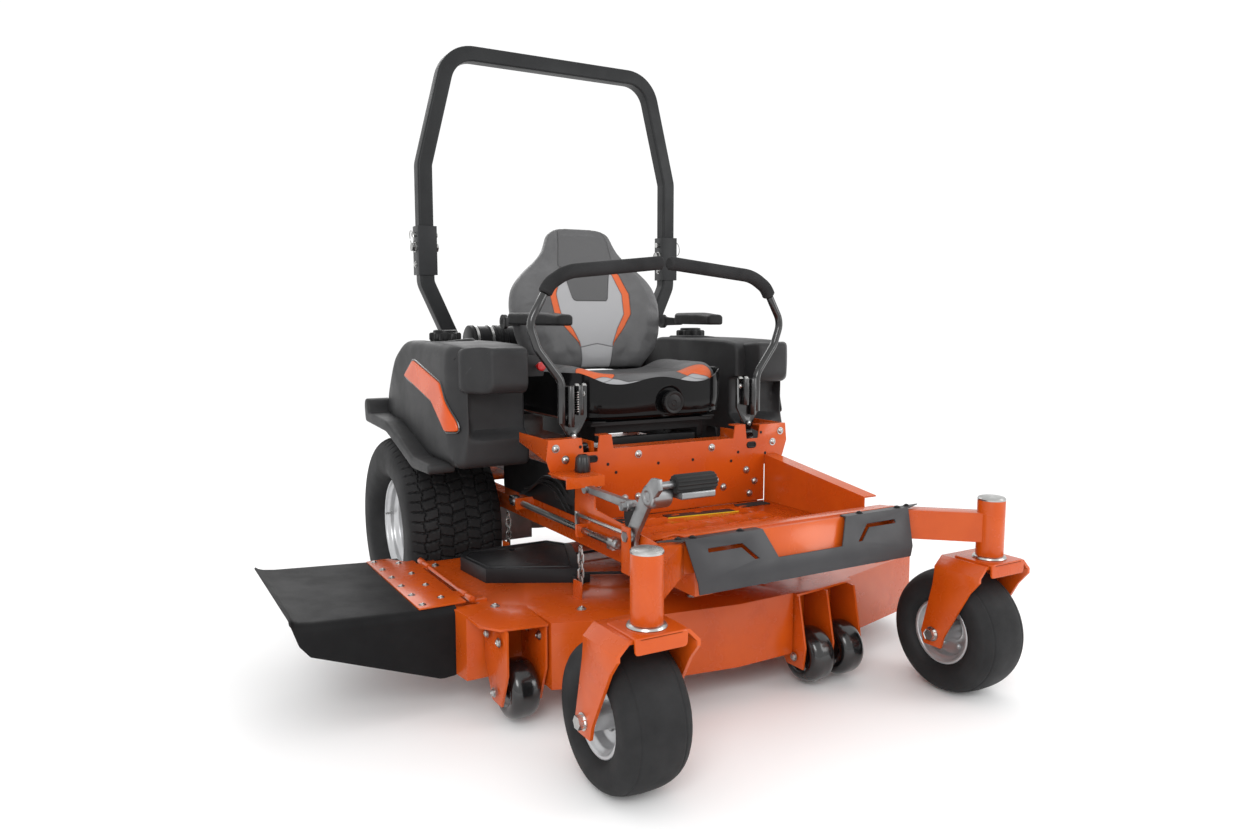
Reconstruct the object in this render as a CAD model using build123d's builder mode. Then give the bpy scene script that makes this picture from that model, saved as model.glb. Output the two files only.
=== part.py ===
"""Zero turn mower: welded frame, caster and drive wheels, cutting deck, seat and roll bar.

Millimetres. Machine axes: +Y runs from the front casters to the rear, +X is the operator's left,
+Z is up and z = 0 is the ground. Every piece is drawn about the machine's centreline and its
caster pivots, then save() moves it so that the row's origin is under the middle of its box.
"""
from build123d import *
import math
import os

os.makedirs("parts", exist_ok=True)

# Wheels
REAR_AXLE_Y = 1401.0
REAR_TYRE_R = 305.0
REAR_TYRE_W = 305.0
REAR_WHEEL_X = 504.5
CASTER_X = 517.0
CASTER_TRAIL = 89.0
CASTER_TYRE_R = 165.0
CASTER_TYRE_W = 165.0
CASTER_BOLT_R = 9.5
STEM_R = 12.7
AXLE_R = 16.0
RUNNING = 0.05

# Frame
RAIL_X = 280.0
RAIL_W = 50.0
RAIL_Z = 366.0
RAIL_TOP = 416.0
FRAME_REAR_Y = 1900.0
CROSS_Z = 422.0
CROSS_TOP = 497.0
PAN_Z = 430.0
PANEL_Y = 680.0
HOOD_TOP = 560.0
SHEET = 4.0

# Deck
DECK_TOP = 262.0
DECK_BOTTOM = 95.0
DECK_LEFT_X = 768.0
DECK_REAR_Y = 1090.0
SKIRT = 5.0
BLADE_R = 250.0
SPINDLES = (("right", -455.0, 828.0), ("centre", 0.0, 612.0), ("left", 455.0, 828.0))
SCALP_WHEELS = (("right", -592.0, 485.0), ("centre", 184.0, 300.0), ("left", 290.0, 300.0))
SCALP_Z = 88.0
SCALP_R = 73.5
SCALP_W = 76.0
CHUTE_HINGE_X = -641.0
CHUTE_HINGE_Z = 272.0
CHUTE_OUTER_X = -1093.0
CHAIN_X = 375.0
CHAIN_Y = (560.0, 1040.0)

# Roll bar
ROPS_X = 475.0
ROPS_Y = 1480.0
ROPS_PIVOT_Z = 1221.0
ROPS_TOP_Z = 1862.0
ROPS_TUBE = 50.0

# Controls and seat
LAP_Y = 742.0
ARM_PIVOT_Z = 625.0
SWING_X = 306.0
SWING_Z = 662.0
CAP_X = 473.0
CAP_Y = 1302.0
TANK_TOP = 918.0
KNOB_SWITCH_X = -345.0
KNOB_SWITCH_Z = 852.0
PEDAL_Y = 345.0
PEDAL_Z = 468.0
PEDAL_X = 344.0
ROLLER_Z = 607.0
LIFT_ROD_Z = 428.0
HITCH_Y = 1995.0
REAR_Y = 2030.0

FRONT_Y = CASTER_TRAIL - CASTER_TYRE_R
SHIFT = Location((-(CHUTE_OUTER_X + DECK_LEFT_X) / 2, -(FRONT_Y + REAR_Y) / 2, 0))
SIDES = (("right", -1), ("left", 1))


def save(part, name):
    """Move a finished piece to the row's origin, label it and write its STEP file."""
    placed = part.moved(SHIFT)
    placed.label = name
    export_step(placed, f"parts/{name}.step")


def block(x, y, z, mode=Mode.ADD):
    """Box between two limits on each axis."""
    centre = ((x[0] + x[1]) / 2, (y[0] + y[1]) / 2, (z[0] + z[1]) / 2)
    with Locations(centre):
        Box(abs(x[1] - x[0]), abs(y[1] - y[0]), abs(z[1] - z[0]), mode=mode)


def outline(plane, points, depth, mode=Mode.ADD, corner=0):
    """Closed outline on a plane, its corners rounded if asked, extruded to a depth."""
    with BuildSketch(plane) as shape:
        with BuildLine():
            Polyline(*points, close=True)
        make_face()
        if corner:
            fillet(shape.vertices(), corner)
    extrude(shape.sketch, amount=depth, mode=mode)


def side_outline(points, x0, x1, mode=Mode.ADD, corner=0):
    """Outline of (y, z) points, extruded across the machine from x0 to x1."""
    plane = Plane(origin=(x0, 0, 0), x_dir=(0, 1, 0), z_dir=(1, 0, 0))
    outline(plane, points, x1 - x0, mode, corner)


def plan_outline(points, z0, z1, mode=Mode.ADD, corner=0):
    """Outline of (x, y) points, extruded upwards from z0 to z1."""
    outline(Plane.XY.offset(z0), points, z1 - z0, mode, corner)


def front_outline(points, y0, y1, mode=Mode.ADD, corner=0):
    """Outline of (x, z) points, extruded rearwards from y0 to y1."""
    plane = Plane(origin=(0, y0, 0), x_dir=(1, 0, 0), z_dir=(0, -1, 0))
    outline(plane, points, y0 - y1, mode, corner)


def rod(start, end, radius, mode=Mode.ADD):
    """Round bar from one point to another."""
    run = Vector(*end) - Vector(*start)
    with BuildSketch(Plane(origin=start, z_dir=run)) as section:
        Circle(radius)
    extrude(section.sketch, amount=run.length, mode=mode)


def bent_tube(points, radii, radius, bore=0):
    """Round tube along straight runs joined by tangent arcs."""
    with BuildLine() as route:
        FilletPolyline(*points, radius=radii)
    start = Plane(origin=points[0], z_dir=Vector(*points[1]) - Vector(*points[0]))
    with BuildSketch(start) as section:
        Circle(radius)
        if bore:
            Circle(bore, mode=Mode.SUBTRACT)
    sweep(section.sketch, path=route.wires()[0])


def mirrored(points):
    """Complete a half outline with its reflection in the centreline."""
    return list(points) + [(-x, z) for x, z in reversed(points) if x != 0]


# ---------------------------------------------------------------- wheels

def tyre(centre, radius, width, corner, bead_r, rim_w, wall):
    """Hollow tyre about the X axis, open at the bead where the rim sits."""
    height = radius - bead_r
    middle = (radius + bead_r) / 2
    with BuildPart() as body:
        with BuildSketch(Plane(origin=centre, x_dir=(1, 0, 0), z_dir=(0, -1, 0))):
            with Locations((0, middle)):
                RectangleRounded(width, height, corner)
            with Locations((0, middle - wall)):
                RectangleRounded(width - 2 * wall, height, corner - wall, mode=Mode.SUBTRACT)
            with Locations((0, bead_r)):
                Rectangle(rim_w, 36, mode=Mode.SUBTRACT)
        revolve(axis=Axis(centre, (1, 0, 0)))
    return body.part


def rim(centre, bead_r, width, flange_r, disc, hub_r, hub_w, bore_r):
    """Steel rim: flanged barrel, disc set off the middle, and hub."""
    half = width / 2
    plane = Plane(origin=centre, x_dir=(1, 0, 0), z_dir=(0, -1, 0))
    with BuildPart() as body:
        with BuildSketch(plane):
            with Locations((0, bead_r - 3.3)):
                Rectangle(width, 6)
            for side in (-1, 1):
                with Locations((side * (half - 3), flange_r - 11)):
                    Rectangle(6, 22)
            with Locations((disc, (bead_r + bore_r) / 2 - 2)):
                Rectangle(7, bead_r - bore_r - 4)
            with Locations((0, (hub_r + bore_r) / 2)):
                Rectangle(hub_w, hub_r - bore_r)
        revolve(axis=Axis(centre, (1, 0, 0)))
    return body.part


for name, s in SIDES:
    pivot = (s * CASTER_X, 0)
    axle = (s * CASTER_X, CASTER_TRAIL, CASTER_TYRE_R)
    save(tyre(axle, CASTER_TYRE_R, CASTER_TYRE_W, 42, 76, 134, 10), f"caster_tyre_{name}")
    caster_bore = CASTER_BOLT_R + RUNNING
    save(rim(axle, 76, 133, 87, 0, 24, 170, caster_bore), f"caster_rim_{name}")

    # Fork: folded plate with sloping shoulders, two raked legs, stem, wheel bolt and nut.
    with BuildPart() as caster_fork:
        shoulders = [(98, 335), (98, 348), (72, 374)]
        inner = [(90, 335), (90, 345), (69, 366)]
        ring = mirrored(shoulders) + [(-x, z) for x, z in mirrored(inner)]
        front_outline([(pivot[0] + x, z) for x, z in ring], -49, 90)
        leg = [(-49, 335), (-20, 300), (54, 165), (62, 133), (116, 133), (126, 165), (94, 300), (90, 335)]
        for x in (pivot[0] - 98, pivot[0] + 90):
            side_outline(leg, x, x + 8)
        rod((*pivot, 374), (*pivot, 520), STEM_R)
        rod((*pivot, 374), (*pivot, 385.5), 30)
        rod((axle[0] - 98, *axle[1:]), (axle[0] + 98, *axle[1:]), CASTER_BOLT_R)
        for x in (axle[0] - 108, axle[0] + 98):
            with BuildSketch(Plane(origin=(x, *axle[1:]), z_dir=(1, 0, 0))):
                RegularPolygon(14, 6)
            extrude(amount=10)
    save(caster_fork.part, f"caster_fork_{name}")

    hub = (s * REAR_WHEEL_X, REAR_AXLE_Y, REAR_TYRE_R)
    save(tyre(hub, REAR_TYRE_R, REAR_TYRE_W, 50, 152, 218, 14), f"rear_tyre_{name}")

    # Rear rim with its hub, drive shaft and five wheel nuts.
    with BuildPart() as rear_rim:
        add(rim(hub, 152, 216, 168, s * 22, 42, 60, AXLE_R))
        rod((s * 240, *hub[1:]), (hub[0] + s * 34, *hub[1:]), AXLE_R)
        nut_face = Plane(origin=(hub[0] + s * 25.5, *hub[1:]), z_dir=(s, 0, 0))
        with BuildSketch(nut_face):
            with PolarLocations(57, 5):
                RegularPolygon(12, 6)
        extrude(amount=16)
    save(rear_rim.part, f"rear_rim_{name}")

# ---------------------------------------------------------------- frame

with BuildPart() as main_frame:
    # Front crossmember with its two angled arms and the caster tubes.
    arm_plan = [(499.8, -18.2), (335, 138), (-335, 138), (-499.8, -18.2)]
    arm_plan += [(-534.2, 18.2), (-355, 188), (355, 188), (534.2, 18.2)]
    plan_outline(arm_plan, CROSS_Z, CROSS_TOP)
    for s in (-1, 1):
        rod((s * CASTER_X, 0, 386), (s * CASTER_X, 0, 529), 34.4)
    for s in (-1, 1):
        rod((s * CASTER_X, 0, 386), (s * CASTER_X, 0, 529), STEM_R + RUNNING, Mode.SUBTRACT)
    # Rails, cross members, engine plate and seat hood.
    for s in (-1, 1):
        rail = (s * RAIL_X - RAIL_W / 2, s * RAIL_X + RAIL_W / 2)
        block(rail, (138, FRAME_REAR_Y), (RAIL_Z, RAIL_TOP))
        block(rail, (138, 188), (RAIL_TOP, CROSS_Z))
        block((s * 300, s * 306), (PANEL_Y + SHEET, 1230), (RAIL_TOP, HOOD_TOP))
    for y in (660, 1180, 1850):
        block((-RAIL_X, RAIL_X), (y, y + 50), (RAIL_Z, RAIL_TOP))
    block((-296, 296), (1480, FRAME_REAR_Y), (RAIL_TOP, 424))
    block((-306, 306), (PANEL_Y + 70, 1230), (HOOD_TOP - 6, HOOD_TOP))
    block((-150, 150), (860, 1140), (HOOD_TOP, 600))
    # Brackets for the lap bar pivots.
    for s in (-1, 1):
        block((s * 248, s * 256), (LAP_Y - 22, LAP_Y + 60), (HOOD_TOP - 6, 646))
        rod((s * 248, LAP_Y, ARM_PIVOT_Z), (s * 320, LAP_Y, ARM_PIVOT_Z), 10)
    # Side ramps beside the foot well, and the shelf for the height knob.
    side_outline([(678, 571), (256, 511), (256, 418), (678, 418)], 327, 331)
    side_outline([(678, 571), (256, 511), (256, 507), (678, 567)], 331, 372)
    side_outline([(678, 500), (256, 465), (256, 418), (678, 418)], -331, -327)
    block((-331, 331), (600, 630), (RAIL_TOP, 424))
    block((-331, -300), (300, 320), (RAIL_TOP, 424))
    block((300, 331), (300, 320), (RAIL_TOP, 424))
    block((-412, -300), (565, 676), (574, 578))
    block((-412, -300), (565, 569), (550, 574))
    block((-331, -327), (565, 676), (480, 574))
    # Guides for the lift rod.
    for y, inner_x in ((600, -331), (1000, -306)):
        block((-366, inner_x), (y, y + 8), (LIFT_ROD_Z - 17, LIFT_ROD_Z + 17))
    rod((-PEDAL_X, 590, LIFT_ROD_Z), (-PEDAL_X, 1020, LIFT_ROD_Z), 9 + RUNNING, Mode.SUBTRACT)
    # Pedal pivot plate and pin.
    block((-366, -360), (PEDAL_Y - 18, PEDAL_Y + 18), (382, PEDAL_Z + 24))
    block((-366, -305), (PEDAL_Y - 18, PEDAL_Y + 18), (376, 382))
    rod((-366, PEDAL_Y, PEDAL_Z), (-332, PEDAL_Y, PEDAL_Z), 9)
    # Drive unit mounting ears under the rails.
    for s in (-1, 1):
        block((s * 262, s * 300), (1310, 1490), (355, RAIL_Z))
    # Roll bar feet.
    for s in (-1, 1):
        block((s * 305, s * 345), (1440, 1520), (RAIL_Z, RAIL_TOP))
save(main_frame.part, "main_frame")

with BuildPart() as floor_pan:
    top = [(674, PAN_Z), (340, PAN_Z), (285, 470), (192, 502), (146, 506)]
    pan_profile = top + [(y, z - SHEET) for y, z in reversed(top)]
    side_outline(pan_profile, -322, 322)
    nose = [(170, 499.5), (170, 502.5), (146, 503), (144, 501.5), (131, 501.5), (99, 410), (103, 410)]
    nose += [(134.5, 498), (150, 498)]
    side_outline(nose, -150, 150)
    with BuildSketch(Plane.XY.offset(PAN_Z)):
        with Locations((0, 500)):
            with GridLocations(80, 80, 6, 4):
                SlotOverall(26, 10)
    extrude(amount=2.5)
    for y in (380, 560):
        block((-255, 255), (y, y + 30), (RAIL_TOP + 4, PAN_Z - SHEET))
save(floor_pan.part, "floor_pan")

with BuildPart() as front_cover:
    sheet = [(142, 502), (142, 506), (118, 506), (85, 413), (87, 386), (91, 386), (89, 412), (121, 502)]
    side_outline(sheet, -345, 345)
    for s in (-1, 1):
        front_outline([(s * 326, 380), (s * 360, 380), (s * 360, 499), (s * 345, 499)], 80, 130, Mode.SUBTRACT)
        plan_outline([(s * 345, 121), (s * 353, 121), (s * 407, 142), (s * 345, 142)], 502, 506)
    slope = Plane(origin=(0, 103, 457), x_dir=(1, 0, 0), z_dir=(0, -0.942, 0.335))
    window = [(-99, -18), (99, -18), (135, 64), (-135, 64)]
    with BuildSketch(slope.offset(-30)):
        with BuildLine():
            Polyline(*window, close=True)
        make_face()
        for s in (-1, 1):
            with BuildLine():
                slot = [(290, 26), (194, 26), (154, -14), (166, -14), (198, 17), (290, 17)]
                Polyline(*[(s * x, z) for x, z in slot], close=True)
            make_face()
    extrude(amount=60, mode=Mode.SUBTRACT)
save(front_cover.part, "front_cover")

with BuildPart() as console_panel:
    panel = [(0, PAN_Z), (326.5, PAN_Z), (326.5, 540), (398, 563), (414, 610), (408, 664), (308, 664)]
    panel += [(302, 623), (258, 623), (252, 668), (214, 668), (208, 628), (0, 628)]
    front_outline(mirrored(panel), PANEL_Y, PANEL_Y + SHEET)
    for s in (-1, 1):
        block((s * 310, s * 406), (PANEL_Y + SHEET, PANEL_Y + 36), (660, 664))
        wing = [(684, 664), (878, 664), (878, 636), (684, 600)]
        side_outline(wing, s * 402, s * 406)
        block((s * 214, s * 250), (PANEL_Y + SHEET, PANEL_Y + 34), (664, 668))
    block((-206, 206), (PANEL_Y + SHEET, PANEL_Y + 60), (624, 628))
save(console_panel.part, "console_panel")

with BuildPart() as seat_base:
    block((-215, 215), (800, 1200), (676, 686))
    block((-190, -170), (820, 1180), (625, 676))
    block((170, 190), (820, 1180), (625, 676))
    block((-170, 170), (820, 832), (650, 676))
    for s in (-1, 1):
        block((s * 170, s * 215), (790, 1210), (686, 690))
save(seat_base.part, "seat_base")

# Hardware on the frame: panel bolts, caster caps, roll bar pivots, lock pins and their wire rings.
with BuildPart() as frame_bolts:
    for x, z in ((128, 606), (128, 560), (60, 590), (250, 520), (250, 470), (180, 500), (385, 632)):
        for s in (-1, 1):
            rod((s * x, PANEL_Y, z), (s * x, PANEL_Y - 6, z), 9)
    for s in (-1, 1):
        rod((s * CASTER_X, 0, 529), (s * CASTER_X, 0, 536), 34.4)
        rod((s * 186, 130, 506), (s * 186, 130, 511), 9)
        for x in (ROPS_X - 40, ROPS_X + 32):
            rod((s * x, ROPS_Y, ROPS_PIVOT_Z), (s * (x + 8), ROPS_Y, ROPS_PIVOT_Z), 15)
            rod((s * x, ROPS_Y, 1262), (s * (x + 8), ROPS_Y, 1262), 9)
        with Locations((s * (ROPS_X + 48), ROPS_Y, 1262)):
            Torus(22, 1.6, rotation=(0, 90, 0))
save(frame_bolts.part, "frame_bolts")

# ---------------------------------------------------------------- tanks and fenders

TANK_PROFILE = [(882, 562), (882, 900), (940, 914), (1100, TANK_TOP), (1370, TANK_TOP), (1460, 875)]
TANK_PROFILE += [(1600, 750), (1640, 660), (1632, 640), (1387, 634), (1250, 594), (1113, 562)]
TANK_HOLLOW = [(905, 610), (905, 892), (1100, 908), (1365, 908), (1415, 885), (1415, 690), (1387, 680)]
TANK_HOLLOW += [(1250, 645), (1113, 610)]
INSERT = [(1333, 808), (1239, 862), (990, 806), (912, 700), (900, 672), (958, 668), (1050, 742)]
LIP = [(953, 548), (1113, 543), (1250, 584), (1387, 622), (1632, 632), (1645, 690), (1632, 718)]
LIP_INNER = [(1600, 712), (1590, 668), (1387, 660), (1240, 622), (1113, 580), (953, 580)]

with BuildPart() as fuel_tanks:
    for s in (-1, 1):
        side_outline(TANK_PROFILE, s * 368, s * 600)
    fillet(fuel_tanks.edges().filter_by(Axis.Z).group_by(Axis.X)[0], 60)
    fillet(fuel_tanks.edges().filter_by(Axis.Z).group_by(Axis.X)[-1], 60)
    for s in (-1, 1):
        block((s * 350, s * 430), (1430, 1530), (500, 1000), Mode.SUBTRACT)
        side_outline(TANK_HOLLOW, s * 376, s * 575, Mode.SUBTRACT)
        rod((s * CAP_X, CAP_Y, 900), (s * CAP_X, CAP_Y, 930), 38, Mode.SUBTRACT)
    # Switch plate on the inner side of the right tank.
    block((-375, -326), (882, 888), (822, 882))
    rod((KNOB_SWITCH_X, 880, KNOB_SWITCH_Z), (KNOB_SWITCH_X, 890, KNOB_SWITCH_Z), 5 + RUNNING, Mode.SUBTRACT)
    for s in (-1, 1):
        side_outline(LIP + LIP_INNER, s * 570, s * 610, Mode.SUBTRACT)
save(fuel_tanks.part, "fuel_tanks")

with BuildPart() as fenders:
    for s in (-1, 1):
        side_outline(LIP + LIP_INNER, s * 571, s * 652)
save(fenders.part, "fenders")

with BuildPart() as tank_inserts:
    for s in (-1, 1):
        side_outline(INSERT, s * 600, s * 605, corner=6)
save(tank_inserts.part, "tank_inserts")

with BuildPart() as side_consoles:
    for s in (-1, 1):
        pod = [(882, 780), (882, 898), (840, 912), (806, 908), (803, 800), (815, 780)]
        side_outline(pod, s * 450, s * 578, corner=8)
save(side_consoles.part, "side_consoles")

for name, s in SIDES:
    with BuildPart() as fuel_cap:
        with BuildSketch(Plane.XY.offset(TANK_TOP + 0.5)):
            with Locations((s * CAP_X, CAP_Y)):
                Circle(50)
                with PolarLocations(46, 10):
                    Circle(7)
        extrude(amount=24)
        rod((s * CAP_X, CAP_Y, TANK_TOP + 24.5), (s * CAP_X, CAP_Y, TANK_TOP + 32), 38)
    save(fuel_cap.part, f"fuel_cap_{name}")

# ---------------------------------------------------------------- roll bar

with BuildPart() as rops_posts:
    for s in (-1, 1):
        with BuildLine():
            foot = (s * 322, ROPS_Y, RAIL_TOP)
            knee = (s * 322, ROPS_Y, 770)
            neck = (s * ROPS_X, ROPS_Y, 1105)
            head = (s * ROPS_X, ROPS_Y, ROPS_PIVOT_Z - 42)
            FilletPolyline(foot, knee, neck, head, radius=[60, 60])
        with BuildSketch(Plane.XY.offset(RAIL_TOP)):
            with Locations((s * 322, ROPS_Y)):
                RectangleRounded(ROPS_TUBE, ROPS_TUBE, 8)
        sweep()
        # Hinge channel: two cheeks and a front wall, open to the rear.
        for x in (s * ROPS_X - 31.5, s * ROPS_X + 25.5):
            block((x, x + 6), (ROPS_Y - 32, ROPS_Y + 26), (1130, 1290))
        block((s * ROPS_X - 31.5, s * ROPS_X + 31.5), (ROPS_Y - 32, ROPS_Y - 26), (1130, 1290))
        for x in (s * ROPS_X - 26, s * ROPS_X + 25):
            block((x, x + 1), (ROPS_Y - 26, ROPS_Y + 25), (1130, 1178))
        rod((s * ROPS_X - 31.5, ROPS_Y, ROPS_PIVOT_Z), (s * ROPS_X + 31.5, ROPS_Y, ROPS_PIVOT_Z), 8)
save(rops_posts.part, "rops_posts")

with BuildPart() as rops_hoop:
    with BuildLine():
        hoop = [(ROPS_X, ROPS_PIVOT_Z), (ROPS_X, 1490), (380, ROPS_TOP_Z)]
        route = [(x, ROPS_Y, z) for x, z in hoop] + [(-x, ROPS_Y, z) for x, z in reversed(hoop)]
        FilletPolyline(*route, radius=[60, 105, 105, 60])
    with BuildSketch(Plane.XY.offset(ROPS_PIVOT_Z)):
        with Locations((ROPS_X, ROPS_Y)):
            RectangleRounded(ROPS_TUBE, ROPS_TUBE, 8)
    sweep()
    for s in (-1, 1):
        ends = (s * (ROPS_X - 24), s * (ROPS_X + 24))
        rod((ends[0], ROPS_Y, ROPS_PIVOT_Z), (ends[1], ROPS_Y, ROPS_PIVOT_Z), 23.5)
    for s in (-1, 1):
        ends = (s * (ROPS_X - 30), s * (ROPS_X + 30))
        rod((ends[0], ROPS_Y, ROPS_PIVOT_Z), (ends[1], ROPS_Y, ROPS_PIVOT_Z), 8 + RUNNING, Mode.SUBTRACT)
save(rops_hoop.part, "rops_hoop")

# ---------------------------------------------------------------- engine and drive

with BuildPart() as engine_block:
    block((-150, 150), (1540, 1800), (424, 560))
    with Locations((0, 1670, 599)):
        Cylinder(135, 82)
    for s in (-1, 1):
        for fin in range(7):
            y = 1545 + fin * 22
            block((s * 140, s * 250), (y, y + 12), (470, 554))
        block((s * 140, s * 236), (1556, 1680), (484, 545))
save(engine_block.part, "engine_block")

with BuildPart() as engine_shroud:
    with Locations((0, 1670, 690)):
        Cylinder(185, 100)
    with Locations((0, 1670, 670)):
        Cylinder(170, 60, mode=Mode.SUBTRACT)
    with Locations((0, 1670, 749)):
        Cylinder(120, 18)
    with BuildSketch(Plane.XY.offset(740)):
        with Locations((0, 1670)):
            with PolarLocations(138, 16):
                SlotOverall(46, 10)
    extrude(amount=-40, mode=Mode.SUBTRACT)
save(engine_shroud.part, "engine_shroud")

with BuildPart() as air_cleaner:
    rod((-310, 1500, 905), (-110, 1500, 905), 54)
    rod((-324, 1500, 905), (-310, 1500, 905), 58)
    rod((-110, 1500, 905), (-96, 1500, 905), 30)
    block((-230, -190), (1500, 1560), (740, 860))
    bent_tube([(-96, 1500, 905), (-20, 1500, 905), (10, 1552, 830), (10, 1552, 758)], [40, 30], 26)
save(air_cleaner.part, "air_cleaner")

with BuildPart() as muffler:
    rod((-190, 1862, 500), (190, 1862, 500), 58)
    rod((150, 1862, 500), (150, 1862, 424), 14)
    rod((-150, 1862, 500), (-150, 1862, 424), 14)
save(muffler.part, "muffler")

with BuildPart() as engine_guard:
    for s in (-1, 1):
        block((s * 255, s * 305), (FRAME_REAR_Y, 1985), (RAIL_Z, RAIL_TOP))
        block((s * 255, s * 305), (1945, 1985), (RAIL_TOP, 640))
    block((-305, 305), (1945, 1985), (600, 640))
    block((-255, 255), (1945, 1985), (RAIL_Z, RAIL_TOP))
    block((-60, 60), (1985, REAR_Y), (386, 396))
    rod((0, HITCH_Y + 10, 380), (0, HITCH_Y + 10, 400), 10, Mode.SUBTRACT)
save(engine_guard.part, "engine_guard")

with BuildPart() as transaxles:
    for s in (-1, 1):
        block((s * 170, s * 320), (1320, 1480), (235, 355))
        with Locations((s * 120, 1400, 310)):
            Cylinder(70, 100)
        block((s * 100, s * 180), (1360, 1440), (270, 340))
    for s in (-1, 1):
        start = (s * 239, REAR_AXLE_Y, REAR_TYRE_R)
        rod(start, (s * 330, REAR_AXLE_Y, REAR_TYRE_R), AXLE_R + RUNNING, Mode.SUBTRACT)
save(transaxles.part, "transaxles")

# ---------------------------------------------------------------- deck

DECK_PLAN = [(-350, 345), (-532, 412), (-532, 566), (-690, 566), (-700, 640), (-700, 1050), (-650, DECK_REAR_Y)]
DECK_PLAN += [(700, DECK_REAR_Y), (DECK_LEFT_X, 1010), (DECK_LEFT_X, 540), (706, 431), (352, 340)]
DECK_PLAN += [(352, 380), (136, 380), (132, 307), (-52, 301)]

with BuildPart() as deck_shell:
    plan_outline(DECK_PLAN, DECK_BOTTOM, DECK_TOP)
    with BuildSketch(Plane.XY.offset(DECK_BOTTOM)):
        with BuildLine():
            Polyline(*DECK_PLAN, close=True)
        make_face()
        offset(amount=-SKIRT, kind=Kind.INTERSECTION)
    extrude(amount=DECK_TOP - SKIRT - DECK_BOTTOM, mode=Mode.SUBTRACT)
    plan_outline([(-540, 412), (-655, 430), (-690, 480), (-690, 572), (-532, 572)], DECK_TOP - 6, DECK_TOP)
    plan_outline([(130, 290), (356, 320), (356, 384), (130, 384)], DECK_TOP - 6, DECK_TOP)
    # Discharge opening, cut back to the hinge line.
    block((-720, -624), (645, 1086), (90, 270), Mode.SUBTRACT)
    for _, x, y in SPINDLES:
        rod((x, y, DECK_TOP - 20), (x, y, DECK_TOP + 5), 38.3, Mode.SUBTRACT)
save(deck_shell.part, "deck_shell")

with BuildPart() as deck_brackets:
    # Wheel brackets: a plate either side of each wheel, hung from the deck top.
    plate = [(418, 256), (560, 256), (560, 150), (510, 60), (455, 60), (418, 150)]
    for x in (-646, -546):
        side_outline(plate, x, x + 6)
    pair = [(292, 256), (378, 256), (378, 120), (335, 60), (270, 60), (262, 120)]
    for x in (136, 234, 332):
        side_outline(pair, x, x + 6)
    # Wheel bolts.
    rod((-646, 485, SCALP_Z), (-540, 485, SCALP_Z), 8)
    rod((136, 300, SCALP_Z), (338, 300, SCALP_Z), 8)
    # Chain lugs.
    for s in (-1, 1):
        for y in CHAIN_Y:
            block((s * (CHAIN_X + 6), s * (CHAIN_X + 12)), (y - 20, y + 20), (DECK_TOP, 306))
            rod((s * (CHAIN_X - 4), y, 300), (s * (CHAIN_X + 6), y, 300), 3)
    # Chute hinge knuckles.
    for y in (652, 1046):
        length = 36
        rod((CHUTE_HINGE_X, y, CHUTE_HINGE_Z), (CHUTE_HINGE_X, y + length, CHUTE_HINGE_Z), 9)
    block((-641, -600), (652, 688), (DECK_TOP, 268))
    block((-641, -600), (1046, 1082), (DECK_TOP, 268))
    rod((CHUTE_HINGE_X, 646, CHUTE_HINGE_Z), (CHUTE_HINGE_X, 1088, CHUTE_HINGE_Z), 5)
save(deck_brackets.part, "deck_brackets")

COVER = [(-545, 800), (-310, 668), (-215, 930), (-262, 1010), (-530, 1010), (-560, 960)]

with BuildPart() as belt_covers:
    for s in (1, -1):
        shape = [(s * x, y) for x, y in COVER]
        plan_outline(shape, DECK_TOP, DECK_TOP + 40)
    for s in (1, -1):
        with BuildSketch(Plane.XY.offset(DECK_TOP)):
            with BuildLine():
                Polyline(*[(s * x, y) for x, y in COVER], close=True)
            make_face()
            offset(amount=-4, kind=Kind.INTERSECTION)
        extrude(amount=36, mode=Mode.SUBTRACT)
        rod((s * 400, 955, DECK_TOP + 30), (s * 400, 955, DECK_TOP + 45), 9, Mode.SUBTRACT)
    # Slots where the belt passes through the covers' inner walls.
    with BuildSketch(Plane.XY.offset(DECK_TOP + 13)):
        with Locations(*[(x, y) for _, x, y in SPINDLES]):
            Circle(66)
        make_hull()
    extrude(amount=14, mode=Mode.SUBTRACT)
    for s in (1, -1):
        rod((s * 318, 690, DECK_TOP + 10), (s * 318, 674, DECK_TOP + 10), 8)
save(belt_covers.part, "belt_covers")


def chain_link(centre, turned):
    """One oval chain link standing upright, every second one turned a quarter."""
    plane = Plane(origin=centre, x_dir=(1, 0, 0), z_dir=(0, -1, 0))
    if turned:
        plane = Plane(origin=centre, x_dir=(0, 1, 0), z_dir=(1, 0, 0))
    with BuildSketch(plane) as ring:
        SlotOverall(33, 19, rotation=90)
        SlotOverall(23, 9, rotation=90, mode=Mode.SUBTRACT)
    extrude(ring.sketch, amount=2.2, both=True)


# Spindle housings, lift chains and the chute hinge's end nuts.
with BuildPart() as deck_hardware:
    for _, x, y in SPINDLES:
        rod((x, y, DECK_TOP), (x, y, DECK_TOP + 8), 60)
        rod((x, y, 135), (x, y, DECK_TOP + 4), 38)
    for _, x, y in SPINDLES:
        rod((x, y, 130), (x, y, DECK_TOP + 12), STEM_R + RUNNING, Mode.SUBTRACT)
    for s in (-1, 1):
        for y in CHAIN_Y:
            for turn in range(5):
                chain_link((s * CHAIN_X, y, 305 + 20 * turn), turn % 2 == 0)
save(deck_hardware.part, "deck_hardware")

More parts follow.
